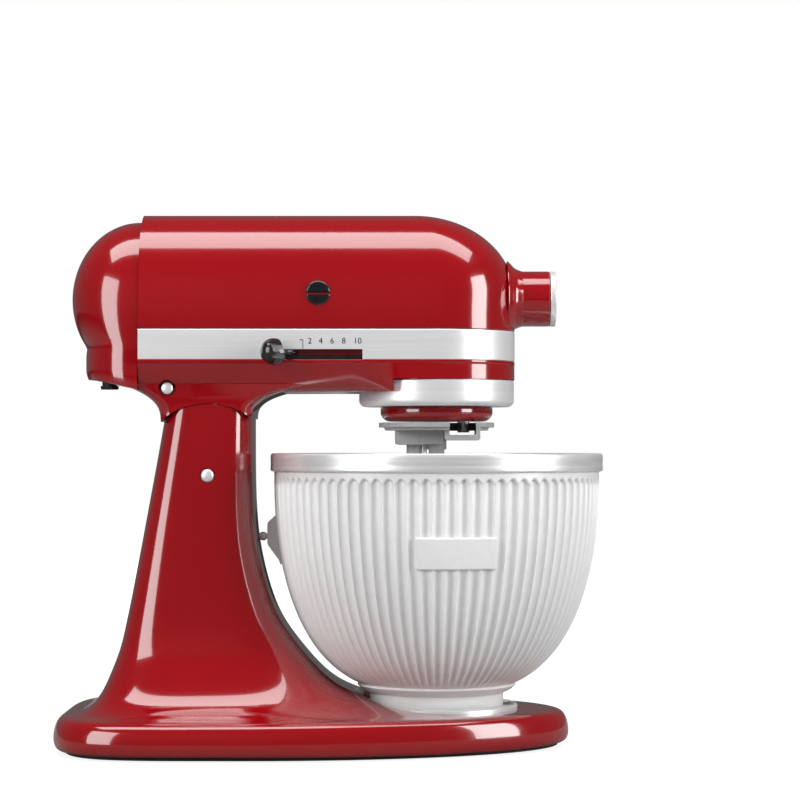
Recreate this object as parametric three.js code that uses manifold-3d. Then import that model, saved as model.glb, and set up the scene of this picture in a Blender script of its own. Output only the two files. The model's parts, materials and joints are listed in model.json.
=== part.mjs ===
// Tilt-head stand mixer with a freezing bowl, its drive adapter and its dasher.
// Millimetres, +Z up, +X towards the attachment hub, origin under the middle of the whole.

import * as THREE from 'three';
import { mergeVertices } from 'three/addons/utils/BufferGeometryUtils.js';
import Module from 'manifold-3d';

const wasm = await Module();
wasm.setup();

// ---- driving dimensions ----------------------------------------------------------------

const GAP = 0.3; // between pieces that touch
const BOWL_X = 81.3; // the vertical axis of the bowl, the gears and the drive, from the middle of the base
const FRAME_X = -11.27; // puts the origin under the middle of the whole, bowl rim included

// base
const BASE_HALF_LENGTH = 170.4;
const BASE_HALF_WIDTH = 106;
const BASE_BOTTOM_Z = 2.2;
const BASE_TOP_Z = 24.5;
const PAD_RADIUS = 54.6; // the recess that the clamp plate sits in
const PAD_Z = 22.4;
const SHELL = 5;

// hinge between the column and the head
const HINGE_X = -69;
const HINGE_Z = 180;
const HINGE_ARC = 46.6;
const COLUMN_HALF_WIDTH = 45;
const LUG_HALF_WIDTH = 27;
const PIN_RADIUS = 4.5;

// head
const HEAD_HALF_WIDTH = 52.4;
const HEAD_TOP_Z = 353.7;
const HEAD_REAR_X = -114.2;
const SHOULDER_Z = 276;
const SPLIT_Z = 265;
const BAND_LOW_Z = 255.8;
const BAND_HIGH_Z = 275.5;
const BAND_DEPTH = 1.2;
const CREASE_Z = 253.6;
const UNDERSIDE_Z = 235;
const NOSE_BEND_X = 67;
const NOSE_BEND_Z = 300;
const WALL = 3.2;

// attachment hub and motor share this height
const SHAFT_Z = 298;
const NOSE_X = BOWL_X + HEAD_HALF_WIDTH - 1;
const HUB_RADIUS = 18.5;
const HUB_FRONT_X = 156.9;
const HUB_BORE = 14;

// speed lever
const LEVER_PIVOT_X = -8;
const LEVER_PIVOT_Y = 25;
const LEVER_Z = 260.4;
const LEVER_REACH = 84;
const LEVER_REST = -6.5; // degrees from straight across, in the off position
const KNOB_RADIUS = 8.8;

// lock lever
const LOCK_X = -95.5;
const LOCK_Z = 237;

// gears
const CENTRE_TEETH = 40;
const PINION_TEETH = 16;
const SPUR_MODULE = 1.3;
const WORM_RADIUS = 5.5;
const WORM_MODULE = 1.8;
const WORM_WHEEL_TEETH = 20;
const CROWN_TEETH = 30;
const HUB_TEETH = 10;
const HUB_MODULE = 1.6;
const RING_TEETH = 42;
const PLANET_TEETH = 12;
const PLANET_MODULE = 1.2;
const PLANET_OFFSET = ((RING_TEETH - PLANET_TEETH) * PLANET_MODULE) / 2;
const WHEEL_Y = WORM_RADIUS + (WORM_WHEEL_TEETH * WORM_MODULE) / 2;
const SPUR_CENTRES = ((CENTRE_TEETH + PINION_TEETH) * SPUR_MODULE) / 2;
const WHEEL_X = BOWL_X - Math.sqrt(SPUR_CENTRES ** 2 - WHEEL_Y ** 2);

// bowl
const RIM_RADIUS = 111.9;
const RIM_LOW_Z = 182.4;
const RIM_TOP_Z = 194.5;
const BOWL_RADIUS = 108.7;
const BOWL_SHOULDER_Z = 179;
const BOWL_DEPTH = 145;
const FOOT_RADIUS = 44.5;
const FOOT_Z = 24.7;
const TWIST = 34; // degrees from locked to free

// ---- colours -----------------------------------------------------------------------------

const look = (color, roughness, metalness) => ({ color, roughness, metalness });
const ENAMEL = look(0xa8000f, 0.18, 0.1);
const STEEL = look(0xc4c6c8, 0.3, 0.9);
const ALUMINIUM = look(0xd2d3d4, 0.38, 0.9);
const BLACK = look(0x141416, 0.35, 0);
const RUBBER = look(0x1b1b1c, 0.85, 0);
const GREY_PLASTIC = look(0x9a9b9d, 0.5, 0);
const WHITE_PLASTIC = look(0xebebeb, 0.4, 0);
const GEAR_STEEL = look(0x8f9296, 0.35, 0.9);
const BRONZE = look(0xa9803f, 0.35, 0.9);
const IRON = look(0x55575a, 0.5, 0.8);
const COPPER = look(0xb46a3c, 0.4, 0.9);
const CARBON = look(0x2a2a2c, 0.7, 0.1);
const GEL = look(0xa8cfe6, 0.2, 0);

// ---- solids --------------------------------------------------------------------------------

const radians = THREE.MathUtils.degToRad;

function signedVolume(positions, index) {
  const a = new THREE.Vector3();
  const b = new THREE.Vector3();
  const c = new THREE.Vector3();
  let sum = 0;
  for (let i = 0; i < index.length; i += 3) {
    a.fromArray(positions, 3 * index[i]);
    b.fromArray(positions, 3 * index[i + 1]);
    c.fromArray(positions, 3 * index[i + 2]);
    sum += a.dot(b.cross(c));
  }
  return sum / 6;
}

// Shared vertices merged, pole slivers dropped and every face turned outwards.
function tidy(geometry) {
  const bare = geometry.clone();
  bare.deleteAttribute('normal');
  bare.deleteAttribute('uv');
  const merged = mergeVertices(bare, 1e-4);
  const positions = merged.attributes.position.array;
  const index = [];
  for (let i = 0; i < merged.index.count; i += 3) {
    const [a, b, c] = [merged.index.getX(i), merged.index.getX(i + 1), merged.index.getX(i + 2)];
    if (a !== b && b !== c && c !== a) index.push(a, b, c);
  }
  if (signedVolume(positions, index) < 0) index.reverse();
  merged.setIndex(index);
  return merged;
}

function toManifold(geometry) {
  const closed = tidy(geometry);
  const mesh = new wasm.Mesh({
    numProp: 3,
    vertProperties: new Float32Array(closed.attributes.position.array),
    triVerts: new Uint32Array(closed.index.array),
  });
  return new wasm.Manifold(mesh);
}

function fromManifold(manifold) {
  const mesh = manifold.getMesh();
  const geometry = new THREE.BufferGeometry();
  geometry.setAttribute('position', new THREE.BufferAttribute(mesh.vertProperties, 3));
  geometry.setIndex(new THREE.BufferAttribute(mesh.triVerts, 1));
  return geometry;
}

function join(first, ...others) {
  let result = toManifold(first);
  for (const other of others) result = result.add(toManifold(other));
  return fromManifold(result);
}

function cut(first, ...others) {
  let result = toManifold(first);
  for (const other of others) result = result.subtract(toManifold(other));
  return fromManifold(result);
}

function overlapOf(first, second) {
  return fromManifold(toManifold(first).intersect(toManifold(second)));
}

function box(x0, x1, y0, y1, z0, z1) {
  const geometry = new THREE.BoxGeometry(x1 - x0, y1 - y0, z1 - z0);
  return geometry.translate((x0 + x1) / 2, (y0 + y1) / 2, (z0 + z1) / 2);
}

// A turned solid about Z from [radius, z] points that start and end on the axis or close up.
function turned(profile, sides = 28) {
  const points = profile.map(([radius, z]) => new THREE.Vector2(radius, z));
  return new THREE.LatheGeometry(points, sides).rotateX(Math.PI / 2);
}

function disc(radius, z0, z1, sides = 24) {
  return new THREE.CylinderGeometry(radius, radius, z1 - z0, sides)
    .rotateX(Math.PI / 2)
    .translate(0, 0, (z0 + z1) / 2);
}

function tube(outer, inner, z0, z1, sides = 28) {
  return turned([[inner, z0], [outer, z0], [outer, z1], [inner, z1], [inner, z0]], sides);
}

const alongX = (geometry) => geometry.clone().rotateY(Math.PI / 2);
const alongY = (geometry) => geometry.clone().rotateX(-Math.PI / 2);

function shapeOf(points, holes = []) {
  const shape = new THREE.Shape(points.map(([u, v]) => new THREE.Vector2(u, v)));
  for (const hole of holes) shape.holes.push(new THREE.Path(hole.map(([u, v]) => new THREE.Vector2(u, v))));
  return shape;
}

// A plan outline in X and Y, pulled up from z0 to z1.
function raised(shape, z0, z1, curveSegments = 6) {
  const options = { depth: z1 - z0, bevelEnabled: false, curveSegments };
  return new THREE.ExtrudeGeometry(shape, options).translate(0, 0, z0);
}

// A side outline in X and Z, pulled across from y0 to y1.
function across(shape, y0, y1, curveSegments = 6) {
  const options = { depth: y1 - y0, bevelEnabled: false, curveSegments };
  return new THREE.ExtrudeGeometry(shape, options).rotateX(Math.PI / 2).translate(0, y1, 0);
}

// A closed skin through rings of equally many points, with a flat cap on each end.
function loft(rings, closed = false) {
  const count = rings[0].length;
  const positions = [];
  const index = [];
  for (const ring of rings) for (const point of ring) positions.push(...point);
  const spans = closed ? rings.length : rings.length - 1;
  for (let r = 0; r < spans; r += 1) {
    const next = ((r + 1) % rings.length) * count;
    for (let i = 0; i < count; i += 1) {
      const j = (i + 1) % count;
      index.push(r * count + i, r * count + j, next + j, r * count + i, next + j, next + i);
    }
  }
  const last = (rings.length - 1) * count;
  const capOf = (ring) => THREE.ShapeUtils.triangulateShape(ring.map(([x, y]) => new THREE.Vector2(x, y)), []);
  if (!closed) {
    for (const [a, b, c] of capOf(rings[0])) index.push(c, b, a);
    for (const [a, b, c] of capOf(rings.at(-1))) index.push(last + a, last + b, last + c);
  }
  const geometry = new THREE.BufferGeometry();
  geometry.setAttribute('position', new THREE.Float32BufferAttribute(positions, 3));
  geometry.setIndex(index);
  return geometry;
}

function node(name, geometry, finish, x = 0, y = 0, z = 0) {
  const mesh = new THREE.Mesh(tidy(geometry), new THREE.MeshStandardMaterial(finish));
  mesh.name = name;
  mesh.position.set(x, y, z);
  return mesh;
}

function assembly(x, y, z, ...meshes) {
  const group = new THREE.Group();
  group.position.set(x, y, z);
  group.add(...meshes);
  return group;
}

// ---- gears ---------------------------------------------------------------------------------

// Straight-flanked teeth that lie just inside the 20 degree involute, thinned for backlash.
function gearOutline(teeth, module, { tip = 0.85, root = 1.15, backlash = 0.32 } = {}) {
  const pitch = (teeth * module) / 2;
  const base = pitch * Math.cos(radians(20));
  const rollOf = (radius) => Math.sqrt(Math.max(1, radius / base) ** 2 - 1);
  const flank = (radius) => rollOf(radius) - Math.atan(rollOf(radius));
  const half = Math.PI / teeth / 2 - backlash / 2 / pitch + flank(pitch);
  const points = [];
  for (let tooth = 0; tooth < teeth; tooth += 1) {
    const centre = (2 * Math.PI * tooth) / teeth;
    const low = pitch - root * module;
    const high = pitch + tip * module;
    points.push(polar(low, centre - half + flank(low)), polar(high, centre - half + flank(high)));
    points.push(polar(high, centre + half - flank(high)), polar(low, centre + half - flank(low)));
  }
  return points;
}

function polar(radius, angle) {
  return [radius * Math.cos(angle), radius * Math.sin(angle)];
}

function circle(radius, sides = 32, x = 0, y = 0) {
  const points = [];
  for (let i = 0; i < sides; i += 1) {
    const [u, v] = polar(radius, (2 * Math.PI * i) / sides);
    points.push([x + u, y + v]);
  }
  return points;
}

function spurGear(teeth, module, z0, z1, phase = 0) {
  return raised(shapeOf(gearOutline(teeth, module)), z0, z1).rotateZ(phase);
}

// The turn that puts a gear's teeth in the spaces of its mate, which lies at this bearing from it.
function meshTurn(teeth, mateTeeth, bearing) {
  const share = (bearing * mateTeeth) / (2 * Math.PI);
  return bearing + Math.PI + ((share + 0.5) * 2 * Math.PI) / teeth;
}

// A ring gear is a gear-shaped hole; its space is the mating tooth plus backlash.
function internalGear(teeth, module, outer, z0, z1) {
  const spaces = gearOutline(teeth, module, { tip: 1.1, root: 0.75, backlash: -0.32 });
  return raised(shapeOf(circle(outer, 28), [spaces]), z0, z1);
}

// A single-start thread along X: one cam section, twisted as it advances.
function wormThread(x0, x1) {
  const lead = Math.PI * WORM_MODULE;
  const slicesPerTurn = 8;
  const slices = Math.round(((x1 - x0) / lead) * slicesPerTurn);
  const tip = WORM_RADIUS + 0.85 * WORM_MODULE;
  const root = WORM_RADIUS - 1.1 * WORM_MODULE;
  const section = [[tip, -22], [tip, 22], [root, 128], [root, 155], [root, 205], [root, 232]];
  const rings = [];
  for (let i = 0; i <= slices; i += 1) {
    const x = x0 + ((x1 - x0) * i) / slices;
    const turn = (2 * Math.PI * (x - WHEEL_X)) / lead;
    rings.push(section.map(([radius, angle]) => {
      const [y, z] = polar(radius, radians(angle) + turn);
      return [y, z, x];
    }));
  }
  return loft(rings).applyMatrix4(new THREE.Matrix4().set(0, 0, 1, 0, 1, 0, 0, 0, 0, 1, 0, 0, 0, 0, 0, 1));
}

// ---- head outlines ---------------------------------------------------------------------------

function headHalfWidth(z, inset) {
  if (z <= SHOULDER_Z) return HEAD_HALF_WIDTH - inset;
  const share = Math.min(1, (z - SHOULDER_Z) / (HEAD_TOP_Z - inset - SHOULDER_Z));
  return (HEAD_HALF_WIDTH - inset) * (1 - share ** 2.3) ** (1 / 2.3);
}

function headFront(z, inset) {
  const reach = BOWL_X + HEAD_HALF_WIDTH - inset - NOSE_BEND_X;
  if (z <= NOSE_BEND_Z) return NOSE_BEND_X + reach;
  const share = Math.min(1, (z - NOSE_BEND_Z) / (HEAD_TOP_Z - inset - NOSE_BEND_Z));
  return NOSE_BEND_X + reach * Math.sqrt(1 - share ** 2);
}

// Straight sides from the rear joint, closed by a half round nose.
function headRing(z, inset, { rear = HEAD_REAR_X, width, sides = 10 } = {}) {
  const half = width ?? Math.max(2, headHalfWidth(z, inset));
  const centre = headFront(z, inset) - half;
  const ring = [[rear, half, z], [rear, -half, z]];
  for (let i = 0; i <= sides; i += 1) {
    const angle = -Math.PI / 2 + (Math.PI * i) / sides;
    ring.push([centre + half * Math.cos(angle), half * Math.sin(angle), z]);
  }
  return ring;
}

function headBlock(levels, inset, options) {
  return loft(levels.map((z) => headRing(z, inset, options)));
}

const HEAD_LEVELS = [SHOULDER_Z, 300, 320, 336, 347, 352];

// The seat of the trim band: a groove all round the sides and nose.
function bandGroove() {
  const wide = headBlock([BAND_LOW_Z - 0.2, BAND_HIGH_Z + 0.2], -2);
  const narrow = headBlock([BAND_LOW_Z - 1, BAND_HIGH_Z + 1], BAND_DEPTH + GAP, { rear: HEAD_REAR_X - 1 });
  return cut(wide, narrow);
}

// ---- head castings -----------------------------------------------------------------------------

function headCavity() {
  return headBlock([SPLIT_Z - 1, 276, 300, 318, 331, 341, HEAD_TOP_Z - WALL], WALL + 0.6, {
    rear: HEAD_REAR_X - 1,
  });
}

function upperHousing() {
  const outer = headBlock([SPLIT_Z, ...HEAD_LEVELS, HEAD_TOP_Z], 0);
  const barrelHole = alongX(disc(HUB_RADIUS + GAP, NOSE_X - 26, HUB_FRONT_X, 28)).translate(0, 0, SHAFT_Z);
  const brushHoles = [-1, 1].map((side) => (
    alongY(disc(8.5, 36, 56, 20)).scale(1, side, 1).translate(3.4, 0, 299)
  ));
  return cut(outer, headCavity(), bandGroove(), barrelHole, ...brushHoles);
}

// The boss on the nose that attachments slide into.
function hubBarrel() {
  const barrel = alongX(disc(HUB_RADIUS, NOSE_X - 26, HUB_FRONT_X, 28)).translate(0, 0, SHAFT_Z);
  const bore = alongX(disc(HUB_BORE, NOSE_X - 30, HUB_FRONT_X + 1, 28)).translate(0, 0, SHAFT_Z);
  const knobHole = alongY(disc(3.4, 10, 30, 12)).translate(145, 0, SHAFT_Z);
  return cut(barrel, headCavity(), bore, knobHole);
}

function lowerGearcase() {
  const frontTop = disc(HEAD_HALF_WIDTH - 0.2, 243.4, 257, 44).translate(BOWL_X, 0, 0);
  const rings = [
    headRing(UNDERSIDE_Z, 0, { width: 42 }),
    headRing(UNDERSIDE_Z + 3, 0, { width: 46 }),
    headRing(CREASE_Z, 0),
    headRing(SPLIT_Z - GAP, 0),
  ];
  const ringSpace = disc(52.3, 220, 243.4, 44).translate(BOWL_X, 0, 0);
  const frontClear = join(box(BOWL_X - 29, 160, -60, 60, 220, 243.4), ringSpace);
  const sides = cut(loft(rings), frontClear);
  const ringSeat = disc(44, 226.5, 246, 40).translate(BOWL_X, 0, 0);
  const neckSide = shapeOf([
    [-114, 244], [-114, 235.6], [-107.9, 231.4], [-103.2, 227.4], [-100.6, 222], [-99.8, 210],
    [-40.7, 210], [-40.3, 219], [-36, 225.2], [-29, 230.2], [-20, UNDERSIDE_Z], [-20, 244],
  ]);
  const neck = cut(
    across(neckSide, -COLUMN_HALF_WIDTH, COLUMN_HALF_WIDTH),
    alongY(disc(HINGE_ARC + 0.4, -60, 60, 32)).translate(HINGE_X, 0, HINGE_Z),
  );
  const lug = join(
    alongY(disc(20, -LUG_HALF_WIDTH, LUG_HALF_WIDTH, 28)).translate(HINGE_X, 0, HINGE_Z),
    box(HINGE_X + 5, HINGE_X + 21, -LUG_HALF_WIDTH, LUG_HALF_WIDTH, HINGE_Z, 236),
  );
  const cavity = headBlock([239.5, CREASE_Z, SPLIT_Z + 1], WALL + 0.6, { rear: HEAD_REAR_X - 1 });
  const cavityLow = cut(cavity, box(40, 160, -60, 60, 230, 247));
  return cut(
    join(sides, frontTop, ringSeat, neck, lug),
    cavityLow,
    bandGroove(),
    disc(30.6, 226, 237.3, 36).translate(BOWL_X, 0, 0),
    disc(9.3, 230, 260, 24).translate(BOWL_X, 0, 0),
    alongY(disc(PIN_RADIUS + GAP, -60, 60, 20)).translate(HINGE_X, 0, HINGE_Z),
    alongY(disc(4.4, -60, 60, 20)).translate(LOCK_X, 0, LOCK_Z),
    alongY(disc(7, -60, -44, 20)).translate(LOCK_X, 0, LOCK_Z),
    box(-23, 35, -60, -44, 258.3, 262.6),
  );
}

function rearRing(z, inset) {
  const half = Math.max(2, headHalfWidth(Math.min(z + 4, HEAD_TOP_Z - 1.5), inset) - 0.6);
  const dome = Math.sqrt(Math.max(0.01, 1 - ((z - 297) / 52.4) ** 2));
  const reach = (z < 262 ? 38.7 : 46.2 * dome + 1.9) - inset;
  const ring = [];
  for (let i = 0; i <= 12; i += 1) {
    const angle = Math.PI / 2 + (Math.PI * i) / 12;
    const depth = Math.max(0.4, reach) * Math.abs(Math.cos(angle)) ** 0.85;
    ring.push([HEAD_REAR_X - GAP - depth, half * Math.sin(angle), z]);
  }
  return ring;
}

function rearCover() {
  const outer = loft([243.5, 262, 280, 300, 320, 336, 345, 349].map((z) => rearRing(z, 0)));
  const chinSide = shapeOf([[-152.9, 244.5], [-147.2, 243.5], [-114.5, 236], [-114.5, 250], [-152, 250]]);
  const chin = overlapOf(across(chinSide, -50, 50), loft([230, 252].map((z) => rearRing(248, 0).map(([x, y]) => [x, y, z]))));
  const inner = loft([252, 262, 280, 300, 320, 336].map((z) => rearRing(z, WALL + 0.8)))
    .translate(1.5, 0, 0);
  const cordHole = disc(5.3, 230, 256, 16).translate(-138, 0, 0);
  return cut(join(outer, chin), inner, cordHole);
}

function trimBand() {
  const outer = headBlock([BAND_LOW_Z, BAND_HIGH_Z], 0);
  const inner = headBlock([BAND_LOW_Z - 1, BAND_HIGH_Z + 1], BAND_DEPTH, { rear: HEAD_REAR_X - 1 });
  const slot = box(-17.6 - 5, 34, -60, -44, 254, 262.4);
  return cut(outer, inner, slot);
}

// ---- inside the head ---------------------------------------------------------------------------

function fieldStator() {
  return alongX(tube(34.5, 22.5, -72, -18, 28)).translate(0, 0, SHAFT_Z);
}

function rotorCore() {
  return alongX(tube(21.5, 5.3, -74, -16, 18));
}

function armatureShaft() {
  const thread = wormThread(WHEEL_X - 9, WHEEL_X + 9.5);
  const shaft = alongX(disc(5, -104, WHEEL_X - 8, 16));
  const nose = alongX(disc(3, WHEEL_X + 9, WHEEL_X + 13, 12));
  return join(thread, shaft, nose);
}

function coolingFan() {
  let fan = tube(12, 5.3, 0, 8, 18);
  const blade = box(10, 29, -0.8, 0.8, 0, 8);
  for (let i = 0; i < 9; i += 1) fan = join(fan, blade.clone().rotateZ((2 * Math.PI * i) / 9));
  return alongX(fan).translate(-94, 0, 0);
}

function wormWheel() {
  const slant = Math.atan((Math.PI * WORM_MODULE) / (2 * Math.PI * WORM_RADIUS));
  const half = 4;
  const pitch = (WORM_WHEEL_TEETH * WORM_MODULE) / 2;
  const outline = gearOutline(WORM_WHEEL_TEETH, WORM_MODULE, { tip: 0.7, root: 1.1, backlash: 0.7 });
  const twist = (half * Math.tan(slant)) / pitch;
  const ring = (z, turn) => outline.map(([x, y]) => {
    const [c, s] = polar(1, turn + Math.PI / WORM_WHEEL_TEETH);
    return [x * c - y * s, x * s + y * c, SHAFT_Z + z];
  });
  return cut(loft([ring(-half, -twist), ring(half, twist)]), disc(4.3, 290, 306, 18));
}

function drivePinion() {
  const bearing = Math.atan2(WHEEL_Y, WHEEL_X - BOWL_X);
  const teeth = spurGear(PINION_TEETH, SPUR_MODULE, 274.5, 281.6, meshTurn(PINION_TEETH, CENTRE_TEETH, bearing));
  return join(teeth, disc(4, 262, 306, 16));
}

function centreGear() {
  const disk = spurGear(CENTRE_TEETH, SPUR_MODULE, 275, 283);
  const hub = disc(11, 268, 284, 16);
  return cut(join(disk, hub), disc(6.3, 260, 300, 16));
}

// A ring with radial teeth on its upper face.
function crownGear() {
  const rings = [];
  for (let i = 0; i < CROWN_TEETH; i += 1) {
    for (const [share, top] of [[-0.2, 288], [0.2, 288], [0.36, 291.2], [0.64, 291.2]]) {
      const [x, y] = polar(1, (2 * Math.PI * (i + share)) / CROWN_TEETH);
      rings.push([[19, 284], [27, 284], [27, top], [19, top]].map(([r, z]) => [r * x, r * y, z]));
    }
  }
  return loft(rings, true);
}

function hubDriveShaft() {
  const pinion = raised(shapeOf(gearOutline(HUB_TEETH, HUB_MODULE, { backlash: 0.6 })), 20.5, 27);
  const shaft = disc(5, 18, 50, 16);
  const socket = cut(disc(9.5, 49, 66, 20), box(-4.2, 4.2, -4.2, 4.2, 52, 70));
  return alongX(join(pinion, shaft, socket));
}

// ---- drive, beater and planetary ------------------------------------------------------------------

function planetaryCover() {
  const disk = turned([[0, 216.4], [33, 215.6], [36, 217], [37.6, 220], [37.6, 226], [0, 226]], 40);
  const shaftHole = disc(4.3, 210, 230, 18).translate(PLANET_OFFSET, 0, 0);
  return cut(disk, disc(6.3, 210, 230, 20), shaftHole);
}

function driveAdapter() {
  const lip = disc(38.8, 211.6, 215, 40);
  const step = disc(35, 209.6, 212, 36);
  const boss = box(-28, 5, -14, 14, 200, 210);
  const leg = disc(5.2, 190, 201, 18).translate(-15.1, 0, 0);
  const socket = turned([[0, 188], [5.4, 188], [5.4, 197], [6.8, 197], [6.8, 210], [0, 210]], 24);
  const clip = cut(box(4.9, 28.7, -12, 12, 203, 210), box(8.2, 25.7, -9, 9, 206.8, 212));
  const shaftSpace = disc(5.2, 205, 220, 20).translate(PLANET_OFFSET, 0, 0);
  const bore = disc(4, 180, 200.4, 18);
  const centreSpace = disc(6.4, 213.2, 220, 20);
  const clipSpace = box(8.2, 25.7, -9, 9, 206.8, 220);
  return cut(join(lip, step, boss, leg, socket, clip), shaftSpace, bore, centreSpace, clipSpace);
}

function beaterShaft() {
  const shaft = disc(4, 208.4, 236.6, 16);
  const crossPin = alongY(disc(1.3, -7, 7, 10)).translate(0, 0, 211);
  return join(shaft, crossPin);
}

function beaterPinion() {
  const teeth = raised(shapeOf(gearOutline(PLANET_TEETH, PLANET_MODULE)), 229, 236);
  return cut(teeth, disc(4.3, 220, 240, 16));
}

// ---- base ------------------------------------------------------------------------------------------

// The plan of the foot plate: a half ellipse in front and a blunt, slightly bowed tail.
function basePlan(inset, z, sides = 28) {
  const front = BASE_HALF_LENGTH + 40;
  const ring = [];
  for (let i = 0; i < sides; i += 1) {
    const angle = (2 * Math.PI * (i + 0.5)) / sides;
    const c = Math.cos(angle);
    const s = Math.sin(angle);
    const fore = c > 0;
    const reach = (fore ? front : BASE_HALF_LENGTH - 40) - inset;
    const power = fore ? 1 : 0.42;
    const half = (BASE_HALF_WIDTH - inset) * Math.abs(s) ** (fore ? 1 : 0.55);
    ring.push([-40 + Math.sign(c) * reach * Math.abs(c) ** power, Math.sign(s) * half, z]);
  }
  return ring;
}

// One level of the column: a rounded rectangle between its rear and front faces.
function columnRing(z, rear, front, half, sides = 20) {
  const ring = [];
  for (let i = 0; i < sides; i += 1) {
    const angle = (2 * Math.PI * (i + 0.5)) / sides;
    const c = Math.cos(angle);
    const s = Math.sin(angle);
    const x = (rear + front) / 2 + ((front - rear) / 2) * Math.sign(c) * Math.abs(c) ** 0.5;
    ring.push([x, half * Math.sign(s) * Math.abs(s) ** 0.5, z]);
  }
  return ring;
}

const COLUMN_LEVELS = [
  [25, -153, 62, 84], [33.8, -144, 32, 70], [42, -138, 16.5, 62], [50, -133.4, 4.4, 58], [66, -128, -10.4, 53],
  [82, -124.7, -21.2, 50.5], [98, -121.3, -28.6, 49], [130, -115.2, -38, 47], [163, -109.2, -40.7, 45.6],
  [203, -101.8, -40.7, COLUMN_HALF_WIDTH], [230, -98, -40.7, COLUMN_HALF_WIDTH],
];

function column(inset, levels = COLUMN_LEVELS) {
  return loft(levels.map(([z, rear, front, half]) => columnRing(z, rear + inset, front - inset, half - inset)));
}

const FEET = [[-124, 74], [-124, -74], [40, 68], [40, -68], [138, 0]];

function baseCasting() {
  const plate = loft([
    basePlan(6.5, BASE_BOTTOM_Z), basePlan(0, 7), basePlan(1, 14), basePlan(5, 20.5), basePlan(12, BASE_TOP_Z),
  ]);
  const arc = alongY(disc(HINGE_ARC, -60, 60, 32)).translate(HINGE_X, 0, HINGE_Z);
  const aboveArc = cut(box(-140, 0, -60, 60, 196, 260), arc);
  const foot = column(0, [[20, -158, 70, 90], ...COLUMN_LEVELS]);
  const solid = cut(join(plate, foot), aboveArc);
  const hollowPlate = loft([basePlan(13, 1), basePlan(9, 9), basePlan(18, 17.2)]);
  const hollowColumn = column(SHELL, [[12, -150, 60, 84], ...COLUMN_LEVELS.slice(0, 8)]);
  const slot = box(-94.8, -45.6, -LUG_HALF_WIDTH - 0.6, LUG_HALF_WIDTH + 0.6, 157, 260);
  const hollow = cut(join(hollowPlate, hollowColumn), box(-140, -20, -60, 60, 150, 240));
  let casting = cut(
    solid,
    hollow,
    slot,
    disc(PAD_RADIUS, PAD_Z, 40, 44).translate(BOWL_X, 0, 0),
    alongY(disc(PIN_RADIUS + GAP, -60, 60, 20)).translate(HINGE_X, 0, HINGE_Z),
  );
  for (const [x, y] of FEET) {
    casting = cut(join(casting, disc(9, BASE_BOTTOM_Z, 19, 12).translate(x, y, 0)), disc(3.5, 0, 12, 8).translate(x, y, 0));
  }
  for (const angle of CLAMP_SCREWS) {
    const [x, y] = polar(30, angle);
    const boss = disc(5, 10, PAD_Z - 1, 10).translate(BOWL_X + x, y, 0);
    casting = cut(join(casting, boss), disc(2.2, 12, 40, 8).translate(BOWL_X + x, y, 0));
  }
  return casting;
}

function baseGasket() {
  const plan = (inset) => basePlan(inset, 0).map(([x, y]) => [x, y]);
  return raised(shapeOf(plan(7), [plan(11.5)]), 0.5, BASE_BOTTOM_Z - GAP);
}

function rubberFoot() {
  return turned([[0, 0], [7.5, 0], [8.4, 1], [8.4, 1.9], [3.2, 1.9], [3.2, 10], [0, 10]], 10);
}

const CLAMP_SCREWS = [0, 1, 2].map((i) => radians(60 + 120 * i));
const LOCKED = [0, 1, 2].map((i) => radians(-TWIST + 120 * i));

function sector(outer, inner, z0, z1, middle, spread) {
  const points = [];
  const steps = 4;
  for (let i = 0; i <= steps; i += 1) points.push(polar(outer, middle + spread * (i / steps - 0.5)));
  for (let i = steps; i >= 0; i -= 1) points.push(polar(inner, middle + spread * (i / steps - 0.5)));
  return raised(shapeOf(points), z0, z1);
}

function clampPlate() {
  const dish = turned([
    [0, 22.8], [54, 22.8], [54.2, 25], [54.2, 27.6], [46.8, 27.6], [46.8, 26.6], [52.4, 26.6], [52.4, 24.2], [0, 24.2],
  ], 32);
  const gaps = LOCKED.map((angle) => sector(52.3, 40, 24.3, 30, angle + radians(TWIST), radians(34)));
  const holes = CLAMP_SCREWS.map((angle) => disc(2.3, 20, 30, 12).translate(...polar(30, angle), 0));
  return cut(dish, ...gaps, ...holes);
}

function clampScrew() {
  return join(disc(1.9, 13, 25, 8), disc(4, 24.5, 25.8, 10));
}

// ---- bowl and dasher ---------------------------------------------------------------------------------

function bowlRadius(z) {
  const share = (BOWL_SHOULDER_Z - z) / BOWL_DEPTH;
  return BOWL_RADIUS * (1 - share ** 2.2) ** (1 / 3);
}

const WALL_LEVELS = [44, 54, 70, 94, 130];

function bowlShell() {
  const wall = (offset) => WALL_LEVELS.map((z) => [bowlRadius(z) + offset, z]);
  const profile = [
    [FOOT_RADIUS - 3, 34], [FOOT_RADIUS - 3, FOOT_Z], [FOOT_RADIUS, FOOT_Z], [FOOT_RADIUS, 34], [48, 36.5], ...wall(0),
    [BOWL_RADIUS, BOWL_SHOULDER_Z], [BOWL_RADIUS, 182], [BOWL_RADIUS - 2.6, 182], [BOWL_RADIUS - 2.6, BOWL_SHOULDER_Z],
    ...wall(-2.6).reverse(), [44, 39.6], [0, 39.6], [0, 34], [FOOT_RADIUS - 3, 34],
  ];
  const lugs = LOCKED.map((angle) => sector(51.4, 42, FOOT_Z, 26.2, angle, radians(28)));
  const grip = box(-15, 38, -107, -90, 121, 141.5);
  const handles = [grip, grip.clone().rotateZ(Math.PI)];
  const shell = join(turned(profile, 30), ...lugs);
  const pads = handles.map((pad) => overlapOf(cut(pad, disc(104.3, 20, 190, 30)), disc(108.4, 20, 190, 30)));
  return join(shell, ...pads);
}

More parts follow.
